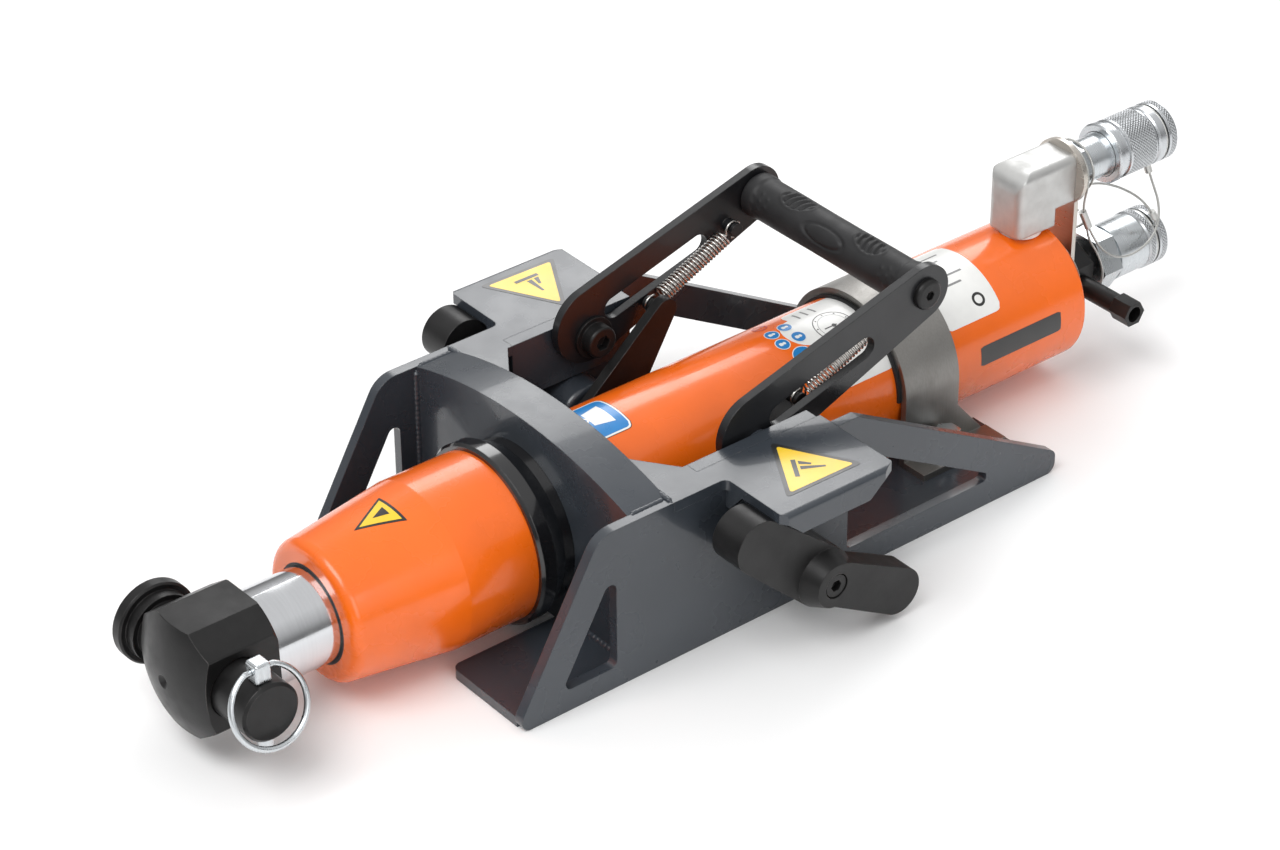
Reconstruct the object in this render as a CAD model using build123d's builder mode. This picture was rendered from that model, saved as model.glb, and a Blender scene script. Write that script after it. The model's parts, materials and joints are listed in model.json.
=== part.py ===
"""Hydraulic rescue ram in a welded floor cradle.

A push ram lies along Y with its plunger head to the front (-Y) and its hose
couplers to the rear. It is held in a cradle of welded plate, with a swing
handle over it, a dog lever outside each side plate, and springs that link the
handle to the cranks of the dogs. All sizes are in millimetres, +Z is up, and
the origin is on the floor, under the middle of the bulkhead.
"""
import math
import os

from build123d import *

os.makedirs("parts", exist_ok=True)

# ---------------------------------------------------------------- driving sizes
# Cradle
cradle_half_width = 95.0        # centre to the outer face of a side plate
cradle_height = 97.0            # floor to the top of the plates
side_plate_t = 6.0
base_plate_t = 6.0
bulkhead_t = 25.0
bulkhead_rise = 14.0            # crown of the bulkhead above the side plates
side_toe_y = -89.5              # front toe of a side plate
side_crest_y = -34.5            # where the front slope meets the top
side_fall_y = 135.5             # where the rear slope starts
side_heel_y = 283.0             # rear tip
side_heel_h = 13.0              # height of the blunt rear tip
side_heel_r = 6.0
side_crest_r = 16.0
side_toe_r = 6.0
base_front_y = -84.0
base_rear_y = 279.0
base_inner_x = 34.0             # half of the slot that the ram lies in
base_corner_r = 5.0
front_window_sill = 13.0
rear_window_sill = 16.0
rear_window_front_y = 130.0
window_rim = 19.0               # plate left between a window and a sloping edge

# Wing decks
deck_t = 6.0
wing_half_span = 140.0
wing_front_y = 46.5
wing_rear_y = 121.5
lip_depth = 14.5
lip_t = 6.0
deck_throat_x = 40.0            # inner corner of the deck at the bulkhead
web_inner_x = 73.0
web_t = 8.0
web_front_y = 39.0
web_rear_y = 119.0
web_bottom_z = 61.5
gusset_t = 4.5
gusset_h = 11.0
gusset_w = 12.0

# Ram
ram_z = 47.5                    # height of the ram's axis
tube_r = 42.2
bore_r = 36.6
tube_front_y = -92.0
tube_rear_y = 357.7
nose_front_y = -143.7
nose_rear_y = -36.5
nose_r = 47.0
nose_front_r = 39.3
nose_round = 6.0                # rounding of the nose at its front
nose_taper_y = -79.0            # where the taper meets the round part
collar_r = 50.5
collar_waist_r = 45.6
rod_r = 26.0
rod_clear = 0.05                # running clearance of guide, seal and wiper
wiper_r = 27.6
seal_r = 31.0
guide_r = 29.0
gland_land_r = rod_r + 0.4
piston_len = 32.0
piston_front_y = 290.0
piston_clear = 0.05
piston_spigot_r = 15.0
plug_front_y = 330.0

# Plunger head
head_rear_y = -182.0
head_rim_y = -222.0
head_tip_y = -232.0
head_r = 35.5
head_roll = 2.5                 # degrees about the ram's axis
head_flat_x = 29.0              # centre to a side flat
head_flat_z = 31.0              # centre to the top and bottom flats
head_cut_x = 15.0               # width of the corner flats along x
head_cut_z = 10.0               # and along z
dimple_r = 4.0
dimple_depth = 2.6
socket_r = 22.0
socket_depth = 42.5
cross_pin_y = -206.5
cross_pin_r = 16.1
cross_pin_clear = 0.4
cross_pin_end = 57.5
flange_r = 22.7
flange_t = 8.0
flange_outer = 52.0
shoulder_r = 19.0
shoulder_end = 37.5
lynch_x = 49.0
lynch_r = 4.0
lynch_block = 10.0
lynch_block_h = 10.0
ring_r = 21.0
ring_wire_r = 1.6
ring_lean = 20.0                # degrees that the ring hangs outwards
ring_pivot_clear = 0.3

# Handle
arm_outer_x = 70.7
arm_t = 5.0
arm_root = (86.5, 95.0)         # centre of the big end, y and z
arm_root_r = 22.5
grip_y = 203.0
grip_z = 134.0
arm_tip_r = 16.0
slot_low = (102.5, 100.0)
slot_high = (161.0, 116.5)
slot_w = 13.0
pivot_y = 87.5
pivot_z = 87.5
pivot_r = 6.0
pivot_clear = 0.1
pivot_head_r = 9.2
pivot_head_t = 7.5
pivot_socket_r = 4.0
pivot_socket_depth = 4.5
pivot_washer_r = 12.0
pivot_washer_t = 1.6
grip_r = 12.8
grip_rod_r = 6.0
grip_screw_r = 8.75
grip_screw_t = 3.6
grip_screw_shank_r = 4.0
end_gap = 0.3

# Dog levers
dog_y = 80.0
dog_z = 41.6
shaft_r = 13.0
shaft_clear = 0.05
boss_r = 19.0
boss_inner_x = 60.0
crank_inner_x = 49.0
crank_t = 6.0
crank_root_r = 19.0
crank_tip = (125.5, 96.5)
crank_tip_r = 7.0
crank_tenon_r = 8.0
hub_r = 17.0
hub_face_r = 12.5
hub_gap = 0.4
lever_inner_x = 113.0
lever_outer_x = 133.0
lever_face_x = 143.0
nose_pad = (37.5, 79.0)         # centre of the round nose of a dog, y and z
nose_pad_r = 15.0
tail_end = (124.0, 18.0)
tail_end_r = 13.5
tail_inner_x = 128.0
shaft_end_x = 128.0
dog_screw_r = 4.0
dog_screw_head_r = 6.5
dog_screw_head_t = 7.5
dog_screw_len = 20.0
dog_counterbore_r = 7.2
dog_counterbore = 8.0

# Springs
spring_x = 60.3
post_r = 4.0
post_groove_r = 3.2
post_groove_w = 2.0
crank_post = (124.0, 96.0)      # y and z of the lower post
arm_post = (182.0, 122.0)       # y and z of the upper post
post_len = 8.4
coil_r = 5.0
coil_wall = 1.4
hook_r = 5.0
hook_wire_r = 0.7
coil_margin = 8.2               # post centre to the end of the coil

# Strap
strap_front_y = 214.0
strap_rear_y = 253.0
strap_t = 4.0
strap_liner_t = 1.6
strap_foot_y = 275.0
strap_foot_x = 64.0
strap_flare_z = 32.0
strap_bolt = (57.0, 237.0)      # x and y
strap_bolt_r = 5.0
strap_bolt_head_r = 7.5
strap_spacer_r = 6.0
strap_spacer_h = 10.0

# Rear fittings
coupler_z = 116.0
elbow_y = 342.0
elbow_w = 26.0
elbow_front_y = 328.0
elbow_rear_y = 356.0            # rear face of the leg that stands on the tube
elbow_below = 13.0              # from the coupler's axis down to the underside
elbow_top_z = 131.0
elbow_round = 12.0              # large rounding from the front face to the top
elbow_edge_r = 5.0
elbow_stud_r = 8.0
elbow_stud_len = 12.0
washer_r = 12.0
washer_t = 3.0
plate_y = 371.0
plate_t = 3.0
plate_disc_r = 19.5
plate_half_w = 13.0
neck_r = 12.5
neck_core_r = 9.0
sleeve_front_y = 402.0
sleeve_rear_y = 433.0
sleeve_r = 17.5
sleeve_inner_r = 13.6
spout_r = 13.3
cap_r = 17.5
cap_len = 15.0
cap_wall = 3.6
cap_gap = 0.4
cap_groove_y = 6.75             # groove for the lanyard's ring
adapter_r = 9.0
adapter_hex = 28.0              # across flats
adapter_hex_len = 15.0
nipple_y = 380.2
nipple_z = 44.5                 # a little below the ram's axis
nipple_r = 6.0
nipple_end_x = 56.5
nipple_hex = 13.5
nipple_hex_len = 13.0
nipple_bore_r = 4.8
nipple_bore_depth = 12.0
lower_hex_y = 394.0
lower_hex_len = 14.0
lower_hex = 34.0
lower_body_r = 16.8
lower_groove_r = 14.8
lower_body_end = 432.0
lanyard_r = 0.75
ferrule_r = 2.3

# ------------------------------------------------------------- worked-out sizes
side_inner_x = cradle_half_width - side_plate_t
bulk_front_y = -bulkhead_t / 2
bulk_rear_y = bulkhead_t / 2
deck_z = cradle_height - deck_t
arm_inner_x = arm_outer_x - arm_t
crank_outer_x = crank_inner_x + crank_t
strap_inner_r = tube_r + strap_liner_t
strap_outer_r = strap_inner_r + strap_t
sides = (("right", 1), ("left", -1))

# Planes and axes. In ram_plane, local x is Y and local y is the distance above
# the ram's axis, so a half profile drawn there is turned about ram_axis.
ram_plane = Plane(origin=(0, 0, ram_z), x_dir=(0, 1, 0), z_dir=(1, 0, 0))
ram_axis = Axis((0, 0, ram_z), (0, 1, 0))
coupler_plane = Plane(origin=(0, 0, coupler_z), x_dir=(0, 1, 0), z_dir=(1, 0, 0))
coupler_axis = Axis((0, 0, coupler_z), (0, 1, 0))


def cross_plane(y):
    """Plane across the ram at y, with local x along X and local y along Z."""
    return Plane(origin=(0, y, 0), x_dir=(1, 0, 0), z_dir=(0, -1, 0))


def ram_cross_plane(y, z=ram_z):
    """Plane across the ram at y, with its origin on an axis at height z."""
    return Plane(origin=(0, y, z), x_dir=(1, 0, 0), z_dir=(0, -1, 0))


def side_plane(x):
    """Plane facing +X at x, with local x along Y and local y along Z."""
    return Plane.YZ.offset(x)


def along(start, end, distance):
    """Point at a distance from start towards end, in two dimensions."""
    run = math.dist(start, end)
    return tuple(a + (b - a) * distance / run for a, b in zip(start, end))


# ------------------------------------------------------------------- the cradle
with BuildPart() as bulkhead:
    with BuildSketch(cross_plane(bulk_front_y)):
        with BuildLine():
            Polyline((-side_inner_x, cradle_height), (-side_inner_x, 0), (side_inner_x, 0),
                     (side_inner_x, cradle_height))
            ThreePointArc((side_inner_x, cradle_height), (0, cradle_height + bulkhead_rise),
                          (-side_inner_x, cradle_height))
        make_face()
        with Locations((0, ram_z)):
            Circle(tube_r, mode=Mode.SUBTRACT)
    extrude(amount=-bulkhead_t)
bulkhead.part.label = "bulkhead"
export_step(bulkhead.part, "parts/bulkhead.step")

front_slope = (cradle_height) / (side_crest_y - side_toe_y)
rear_slope = (cradle_height - side_heel_h) / (side_heel_y - side_fall_y)
front_rim = window_rim * math.hypot(1, front_slope)
window_rear_y = bulk_front_y - 12.0
window_toe_y = side_toe_y + (front_window_sill + front_rim) / front_slope
window_front_top = (window_rear_y - side_toe_y) * front_slope - front_rim
rear_rim = window_rim * math.hypot(1, rear_slope)


def rear_window_top(y):
    """Height of the top of the rear window at y, parallel to the rear slope."""
    return cradle_height - rear_rim - (y - side_fall_y) * rear_slope


rear_window_end_y = side_fall_y + (cradle_height - rear_rim - rear_window_sill - 5.0) / rear_slope

front_window = ((window_toe_y, front_window_sill), (window_rear_y, front_window_sill),
                (window_rear_y, window_front_top))
rear_window = ((rear_window_front_y, rear_window_sill), (rear_window_end_y, rear_window_sill),
               (rear_window_end_y, rear_window_top(rear_window_end_y)),
               (rear_window_front_y, rear_window_top(rear_window_front_y)))

for name, sx in sides:
    with BuildPart() as side_plate:
        with BuildSketch(side_plane(sx * side_inner_x)) as outline:
            with BuildLine():
                Polyline((side_toe_y, 0), (side_crest_y, cradle_height), (bulk_rear_y, cradle_height),
                         (bulk_rear_y, deck_z), (wing_rear_y, deck_z), (wing_rear_y, cradle_height),
                         (side_fall_y, cradle_height), (side_heel_y, side_heel_h), (side_heel_y, 0),
                         close=True)
            make_face()
            for corner, corner_r in (((side_toe_y, 0), side_toe_r), ((side_heel_y, 0), side_heel_r),
                                     ((side_heel_y, side_heel_h), side_heel_r),
                                     ((side_crest_y, cradle_height), side_crest_r)):
                fillet(outline.vertices().sort_by_distance(corner)[0], corner_r)
            with Locations((dog_y, dog_z)):
                Circle(shaft_r + shaft_clear, mode=Mode.SUBTRACT)
        extrude(amount=sx * side_plate_t)
        for window, corner_r in ((front_window, 4.0), (rear_window, 2.4)):
            with BuildSketch(side_plane(sx * side_inner_x)) as opening:
                with BuildLine():
                    Polyline(*window, close=True)
                make_face()
                fillet(opening.vertices(), corner_r)
            extrude(amount=sx * side_plate_t, mode=Mode.SUBTRACT)
    side_plate.part.label = f"side_plate_{name}"
    export_step(side_plate.part, f"parts/side_plate_{name}.step")

# Plates under the side plates, with a rounded corner at the front of the slot
for name, sx in sides:
    with BuildPart() as base_strip:
        with BuildSketch(Plane.XY):
            with BuildLine():
                Polyline((sx * base_inner_x, base_front_y), (sx * side_inner_x, base_front_y),
                         (sx * side_inner_x, bulk_front_y), (sx * base_inner_x, bulk_front_y), close=True)
            front_pad = make_face()
            fillet(front_pad.vertices().sort_by_distance((sx * base_inner_x, base_front_y, 0))[0],
                   base_corner_r)
            with BuildLine():
                Polyline((sx * base_inner_x, bulk_rear_y), (sx * side_inner_x, bulk_rear_y),
                         (sx * side_inner_x, base_rear_y), (sx * base_inner_x, base_rear_y), close=True)
            make_face()
            with Locations((sx * strap_bolt[0], strap_bolt[1])):
                Circle(strap_bolt_r, mode=Mode.SUBTRACT)
        extrude(amount=base_plate_t)
    base_strip.part.label = f"base_strip_{name}"
    export_step(base_strip.part, f"parts/base_strip_{name}.step")

lip_cut_low = (59.0, 104.0)     # y where the lip's slanted ends reach its lower edge
lip_cut_high = (49.5, 114.0)    # y where they reach the deck
for name, sx in sides:
    with BuildPart() as wing:
        with BuildSketch(Plane.XY.offset(deck_z)):
            with BuildLine():
                Polyline((sx * deck_throat_x, bulk_rear_y), (sx * cradle_half_width, bulk_rear_y),
                         (sx * cradle_half_width, wing_front_y), (sx * (wing_half_span - 4), wing_front_y),
                         (sx * wing_half_span, lip_cut_high[0]), (sx * wing_half_span, lip_cut_high[1]),
                         (sx * (wing_half_span - 4), wing_rear_y), (sx * (web_inner_x + web_t), wing_rear_y),
                         (sx * (web_inner_x + web_t), web_front_y), (sx * web_inner_x, web_front_y),
                         (sx * web_inner_x, web_front_y - 3), close=True)
            deck = make_face()
            fillet(deck.vertices().sort_by_distance((sx * cradle_half_width, wing_front_y, deck_z))[0], 4.0)
        extrude(amount=deck_t)
        with BuildSketch(side_plane(sx * (wing_half_span - lip_t))):
            with BuildLine():
                Polyline((lip_cut_high[0], deck_z), (lip_cut_low[0], cradle_height - lip_depth),
                         (lip_cut_low[1], cradle_height - lip_depth), (lip_cut_high[1], deck_z), close=True)
            make_face()
        extrude(amount=sx * lip_t)
        with BuildSketch(cross_plane(wing_front_y)):
            with BuildLine():
                Polyline((sx * cradle_half_width, deck_z), (sx * cradle_half_width, deck_z - gusset_h),
                         (sx * (cradle_half_width + 3), deck_z - gusset_h),
                         (sx * (cradle_half_width + gusset_w), deck_z), close=True)
            make_face()
        extrude(amount=-gusset_t)
        outer_edges = wing.edges().filter_by(Axis.Y).filter_by(
            lambda e: abs(abs(e.center().X) - wing_half_span) < 0.01 and e.center().Z > cradle_height - 0.01)
        fillet(outer_edges, 3.0)
    wing.part.label = f"wing_{name}"
    export_step(wing.part, f"parts/wing_{name}.step")

web_pad_t = web_inner_x - arm_outer_x - end_gap
for name, sx in sides:
    with BuildPart() as pivot_web:
        with BuildSketch(side_plane(sx * web_inner_x)):
            with BuildLine():
                Polyline((web_front_y, web_bottom_z + 8), (web_front_y, cradle_height),
                         (web_rear_y, cradle_height), (web_rear_y, web_bottom_z),
                         (web_front_y + 8, web_bottom_z), close=True)
            make_face()
        extrude(amount=sx * web_t)
        with BuildSketch(side_plane(sx * web_inner_x)):
            with Locations((pivot_y, pivot_z)):
                Circle(pivot_head_r)
        extrude(amount=-sx * web_pad_t)
        with BuildSketch(side_plane(sx * (web_inner_x - web_pad_t))):
            with Locations((pivot_y, pivot_z)):
                Circle(pivot_r)
        extrude(amount=sx * (web_t + web_pad_t), mode=Mode.SUBTRACT)
    pivot_web.part.label = f"pivot_web_{name}"
    export_step(pivot_web.part, f"parts/pivot_web_{name}.step")

for name, sx in sides:
    with BuildPart() as shaft_boss:
        with BuildSketch(side_plane(sx * boss_inner_x)):
            with Locations((dog_y, dog_z)):
                Circle(boss_r)
                Circle(shaft_r + shaft_clear, mode=Mode.SUBTRACT)
        extrude(amount=sx * (side_inner_x - boss_inner_x))
        rim = shaft_boss.edges().filter_by(GeomType.CIRCLE).filter_by(
            lambda e: abs(e.radius - boss_r) < 0.01 and abs(abs(e.center().X) - boss_inner_x) < 0.01)
        fillet(rim, 3.0)
    shaft_boss.part.label = f"shaft_boss_{name}"
    export_step(shaft_boss.part, f"parts/shaft_boss_{name}.step")

# Strap that holds the rear of the ram down, with its liner and its two bolts
with BuildPart() as retaining_strap:
    with BuildSketch(ram_cross_plane(strap_front_y)):
        Circle(strap_outer_r)
        Circle(strap_inner_r, mode=Mode.SUBTRACT)
        with Locations((0, -strap_outer_r)):
            Rectangle(3 * strap_outer_r, 2 * strap_outer_r, mode=Mode.SUBTRACT)
    extrude(amount=-(strap_rear_y - strap_front_y))
    for name, sx in sides:
        with BuildSketch(side_plane(sx * strap_inner_r)):
            with BuildLine():
                Polyline((strap_front_y, ram_z), (strap_front_y, base_plate_t), (strap_foot_y, base_plate_t),
                         (strap_rear_y, strap_flare_z), (strap_rear_y, ram_z), close=True)
            make_face()
        extrude(amount=sx * strap_t)
        with BuildSketch(Plane.XY.offset(base_plate_t)):
            with BuildLine():
                Polyline((sx * strap_outer_r, strap_front_y), (sx * strap_foot_x, strap_front_y),
                         (sx * strap_foot_x, strap_foot_y), (sx * strap_outer_r, strap_foot_y), close=True)
            make_face()
            with Locations((sx * strap_bolt[0], strap_bolt[1])):
                Circle(strap_bolt_r, mode=Mode.SUBTRACT)
        extrude(amount=strap_t)
retaining_strap.part.label = "retaining_strap"
export_step(retaining_strap.part, "parts/retaining_strap.step")

with BuildPart() as strap_liner:
    with BuildSketch(ram_cross_plane(strap_front_y - 2)):
        Circle(strap_inner_r)
        Circle(tube_r, mode=Mode.SUBTRACT)
        with Locations((0, -strap_outer_r)):
            Rectangle(3 * strap_outer_r, 2 * strap_outer_r, mode=Mode.SUBTRACT)
    extrude(amount=-(strap_rear_y - strap_front_y + 2))
strap_liner.part.label = "strap_liner"
export_step(strap_liner.part, "parts/strap_liner.step")

strap_top_z = base_plate_t + strap_t
with BuildPart() as strap_bolts:
    for name, sx in sides:
        with Locations((sx * strap_bolt[0], strap_bolt[1], 0)):
            Cylinder(strap_bolt_r, strap_top_z + strap_spacer_h,
                     align=(Align.CENTER, Align.CENTER, Align.MIN))
        with Locations((sx * strap_bolt[0], strap_bolt[1], strap_top_z)):
            Cylinder(strap_spacer_r, strap_spacer_h, align=(Align.CENTER, Align.CENTER, Align.MIN))
        with BuildSketch(Plane.XY.offset(strap_top_z + strap_spacer_h)):
            with Locations((sx * strap_bolt[0], strap_bolt[1])):
                RegularPolygon(strap_bolt_head_r, 6)
        extrude(amount=7.0)
strap_bolts.part.label = "strap_bolts"
export_step(strap_bolts.part, "parts/strap_bolts.step")

# ---------------------------------------------------------------------- the ram
with BuildPart() as ram_collar:
    with BuildSketch(ram_plane):
        with BuildLine():
            Polyline((bulk_front_y, tube_r), (nose_rear_y, tube_r), (nose_rear_y, collar_r - 1.5),
                     (nose_rear_y + 1.5, collar_r))
            Line((nose_rear_y + 1.5, collar_r), (nose_rear_y + 9, collar_r))
            Line((nose_rear_y + 9, collar_r), (bulk_front_y - 6, collar_waist_r))
            Line((bulk_front_y - 6, collar_waist_r), (bulk_front_y, collar_waist_r))
            Line((bulk_front_y, collar_waist_r), (bulk_front_y, tube_r))
        make_face()
    revolve(axis=ram_axis)
    with Locations((0, (nose_rear_y + bulk_front_y) / 2, 1.5)):
        Box(3 * collar_r, 60, 20, align=(Align.CENTER, Align.CENTER, Align.MAX), mode=Mode.SUBTRACT)
ram_collar.part.label = "ram_collar"
export_step(ram_collar.part, "parts/ram_collar.step")

flat_z = ram_z + tube_r - 0.7   # spot face for the elbow's washer
with BuildPart() as cylinder_tube:
    with BuildSketch(ram_plane):
        with BuildLine():
            Polyline((tube_front_y, bore_r), (tube_front_y, tube_r), (tube_rear_y - 3, tube_r),
                     (tube_rear_y, tube_r - 3), (tube_rear_y, bore_r), close=True)
        make_face()
    revolve(axis=ram_axis)
    with Locations((0, elbow_y, flat_z)):
        Cylinder(washer_r + 0.4, 20, align=(Align.CENTER, Align.CENTER, Align.MIN), mode=Mode.SUBTRACT)
    with Locations((0, elbow_y, flat_z - elbow_stud_len)):
        Cylinder(elbow_stud_r, 30, align=(Align.CENTER, Align.CENTER, Align.MIN), mode=Mode.SUBTRACT)
cylinder_tube.part.label = "cylinder_tube"
export_step(cylinder_tube.part, "parts/cylinder_tube.step")

wiper_len = 7.0
seal_y = nose_front_y + 15.0
seal_len = 8.0
guide_y = nose_front_y + 30.0
guide_len = 16.0
nose_nick = nose_round * (1 - math.sqrt(0.5))
with BuildPart() as nose_cone:
    with BuildSketch(ram_plane):
        with BuildLine():
            Line((nose_front_y, wiper_r), (nose_front_y, nose_front_r - nose_round))
            ThreePointArc((nose_front_y, nose_front_r - nose_round),
                          (nose_front_y + nose_nick, nose_front_r - nose_nick),
                          (nose_front_y + nose_round, nose_front_r))
            Polyline((nose_front_y + nose_round, nose_front_r), (nose_taper_y, nose_r),
                     (nose_rear_y, nose_r), (nose_rear_y, tube_r),
                     (tube_front_y, tube_r), (tube_front_y, gland_land_r),
                     (guide_y + guide_len, gland_land_r), (guide_y + guide_len, guide_r), (guide_y, guide_r),
                     (guide_y, gland_land_r), (seal_y + seal_len, gland_land_r), (seal_y + seal_len, seal_r),
                     (seal_y, seal_r), (seal_y, gland_land_r), (nose_front_y + wiper_len, gland_land_r),
                     (nose_front_y + wiper_len, wiper_r), (nose_front_y, wiper_r))
        make_face()
    revolve(axis=ram_axis)
nose_cone.part.label = "nose_cone"
export_step(nose_cone.part, "parts/nose_cone.step")

gland_rings = (("rod_wiper", nose_front_y, wiper_len, wiper_r), ("rod_seal", seal_y, seal_len, seal_r),
               ("guide_ring", guide_y, guide_len, guide_r))
for name, start_y, length, outer_r in gland_rings:
    with BuildPart() as gland_ring:
        with BuildSketch(ram_plane):
            with BuildLine():
                Polyline((start_y, rod_r + rod_clear), (start_y, outer_r), (start_y + length, outer_r),
                         (start_y + length, rod_r + rod_clear), close=True)
            make_face()
        revolve(axis=ram_axis)
    gland_ring.part.label = name
    export_step(gland_ring.part, f"parts/{name}.step")

with BuildPart() as piston_rod:
    with BuildSketch(ram_plane):
        with BuildLine():
            Polyline((head_rear_y - socket_depth, 0), (head_rear_y - socket_depth, socket_r - 1),
                     (head_rear_y - socket_depth + 1, socket_r), (head_rear_y, socket_r),
                     (head_rear_y, rod_r), (piston_front_y, rod_r), (piston_front_y, piston_spigot_r),
                     (piston_front_y + piston_len, piston_spigot_r), (piston_front_y + piston_len, 0),
                     close=True)
        make_face()
    revolve(axis=ram_axis)
    with BuildSketch(Plane(origin=(0, cross_pin_y, ram_z),
                           x_dir=(0, 1, 0),
                           z_dir=(math.cos(math.radians(head_roll)), 0, math.sin(math.radians(head_roll))))):
        Circle(cross_pin_r + cross_pin_clear)
    extrude(amount=2 * rod_r, both=True, mode=Mode.SUBTRACT)
piston_rod.part.label = "piston_rod"
export_step(piston_rod.part, "parts/piston_rod.step")

piston_groove_y = piston_front_y + 5
piston_groove_len = 8.0
piston_band_y = piston_front_y + 18
piston_band_len = 8.0
piston_groove_r = 31.0
with BuildPart() as piston:
    with BuildSketch(ram_plane):
        with BuildLine():
            Polyline((piston_front_y, piston_spigot_r), (piston_front_y, bore_r - 0.5),
                     (piston_groove_y, bore_r - 0.5), (piston_groove_y, piston_groove_r),
                     (piston_groove_y + piston_groove_len, piston_groove_r),
                     (piston_groove_y + piston_groove_len, bore_r - 0.5), (piston_band_y, bore_r - 0.5),
                     (piston_band_y, piston_groove_r), (piston_band_y + piston_band_len, piston_groove_r),
                     (piston_band_y + piston_band_len, bore_r - 0.5),
                     (piston_front_y + piston_len, bore_r - 0.5),
                     (piston_front_y + piston_len, piston_spigot_r), close=True)
        make_face()
    revolve(axis=ram_axis)
piston.part.label = "piston"
export_step(piston.part, "parts/piston.step")

with BuildPart() as piston_rings:
    with BuildSketch(ram_plane):
        for start_y, length in ((piston_groove_y, piston_groove_len), (piston_band_y, piston_band_len)):
            with BuildLine():
                Polyline((start_y, piston_groove_r), (start_y, bore_r - piston_clear),
                         (start_y + length, bore_r - piston_clear), (start_y + length, piston_groove_r),
                         close=True)
            make_face()
    revolve(axis=ram_axis)
piston_rings.part.label = "piston_rings"
export_step(piston_rings.part, "parts/piston_rings.step")

# The head is turned, then cut flat on eight sides. It sits rolled about the axis.
head_x = (math.cos(math.radians(head_roll)), 0, math.sin(math.radians(head_roll)))
head_up = (-math.sin(math.radians(head_roll)), 0, math.cos(math.radians(head_roll)))
pin_axis = Axis((0, cross_pin_y, ram_z), head_x)
pin_plane = Plane(origin=(0, cross_pin_y, ram_z), x_dir=head_x, z_dir=(0, -1, 0))
dome_r = (head_r ** 2 + (head_rim_y - head_tip_y) ** 2) / (2 * (head_rim_y - head_tip_y))


def dome_y(r):
    """Position along the ram of the domed face at a radius."""
    return head_tip_y + dome_r - math.sqrt(dome_r ** 2 - r ** 2)


with BuildPart() as ram_head:
    with BuildSketch(ram_plane):
        with BuildLine():
            Polyline((head_rear_y, socket_r), (head_rear_y, head_r - 2), (head_rear_y - 2, head_r),
                     (head_rim_y, head_r))
            ThreePointArc((head_rim_y, head_r), (dome_y(20), 20), (dome_y(dimple_r), dimple_r))
            Polyline((dome_y(dimple_r), dimple_r), (head_tip_y + dimple_depth, 0),
                     (head_rear_y - socket_depth, 0), (head_rear_y - socket_depth, socket_r),
                     (head_rear_y, socket_r))
        make_face()
    revolve(axis=ram_axis)
    with BuildSketch(Plane(origin=(0, head_rear_y, ram_z), x_dir=head_x, z_dir=(0, -1, 0))):
        with BuildLine():
            Polyline((head_flat_x, head_flat_z - head_cut_z), (head_flat_x - head_cut_x, head_flat_z),
                     (head_cut_x - head_flat_x, head_flat_z), (-head_flat_x, head_flat_z - head_cut_z),
                     (-head_flat_x, head_cut_z - head_flat_z), (head_cut_x - head_flat_x, -head_flat_z),
                     (head_flat_x - head_cut_x, -head_flat_z), (head_flat_x, head_cut_z - head_flat_z),
                     close=True)
        make_face()
    extrude(amount=head_rear_y - head_tip_y, mode=Mode.INTERSECT)
    with BuildSketch(Plane(origin=(0, cross_pin_y, ram_z), x_dir=(0, 1, 0), z_dir=head_x)):
        Circle(cross_pin_r + cross_pin_clear)
    extrude(amount=2 * head_r, both=True, mode=Mode.SUBTRACT)
ram_head.part.label = "ram_head"
export_step(ram_head.part, "parts/ram_head.step")

with BuildPart() as cross_pin:
    with BuildSketch(pin_plane):
        with BuildLine():
            Polyline((-flange_outer, 0), (-flange_outer, flange_r - 1.5), (-flange_outer + 1.5, flange_r),
                     (-flange_outer + flange_t - 1, flange_r), (-flange_outer + flange_t, flange_r - 1),
                     (-flange_outer + flange_t, shoulder_r), (-shoulder_end, shoulder_r),
                     (-shoulder_end, cross_pin_r), (cross_pin_end - 1.5, cross_pin_r),
                     (cross_pin_end, cross_pin_r - 1.5), (cross_pin_end, 0), close=True)
        make_face()
    revolve(axis=pin_axis)
    with BuildSketch(Plane(origin=(0, cross_pin_y, ram_z), x_dir=head_x, z_dir=head_up)):
        with Locations((lynch_x, 0)):
            Circle(lynch_r + 0.2)
    extrude(amount=2 * cross_pin_r, both=True, mode=Mode.SUBTRACT)
cross_pin.part.label = "cross_pin"
export_step(cross_pin.part, "parts/cross_pin.step")

block_base = cross_pin_r + 0.4
block_mid = block_base + lynch_block_h / 2
hinge_point = tuple(o + lynch_x * a + block_mid * b
                    for o, a, b in zip((0, cross_pin_y, ram_z), head_x, head_up))
with BuildPart() as lynch_pin:
    with BuildSketch(Plane(origin=(0, cross_pin_y, ram_z), x_dir=head_x, z_dir=head_up)):
        with Locations((lynch_x, 0)):
            Circle(lynch_r)
    extrude(amount=block_base)
    extrude(lynch_pin.faces().sort_by(Axis.Z)[0], amount=block_base + 6)
    with BuildSketch(Plane(origin=(0, cross_pin_y, ram_z), x_dir=head_x, z_dir=head_up).offset(block_base)):
        with Locations((lynch_x, 0)):
            RectangleRounded(lynch_block, lynch_block - 1, 1.5)
    extrude(amount=lynch_block_h)
    fillet(lynch_pin.edges().group_by(Axis.Z)[-1], 1.5)
    with BuildSketch(Plane(origin=hinge_point, x_dir=head_x, z_dir=(0, -1, 0))):
        Circle(ring_wire_r + ring_pivot_clear)
    extrude(amount=lynch_block, both=True, mode=Mode.SUBTRACT)
lynch_pin.part.label = "lynch_pin"
export_step(lynch_pin.part, "parts/lynch_pin.step")

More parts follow.
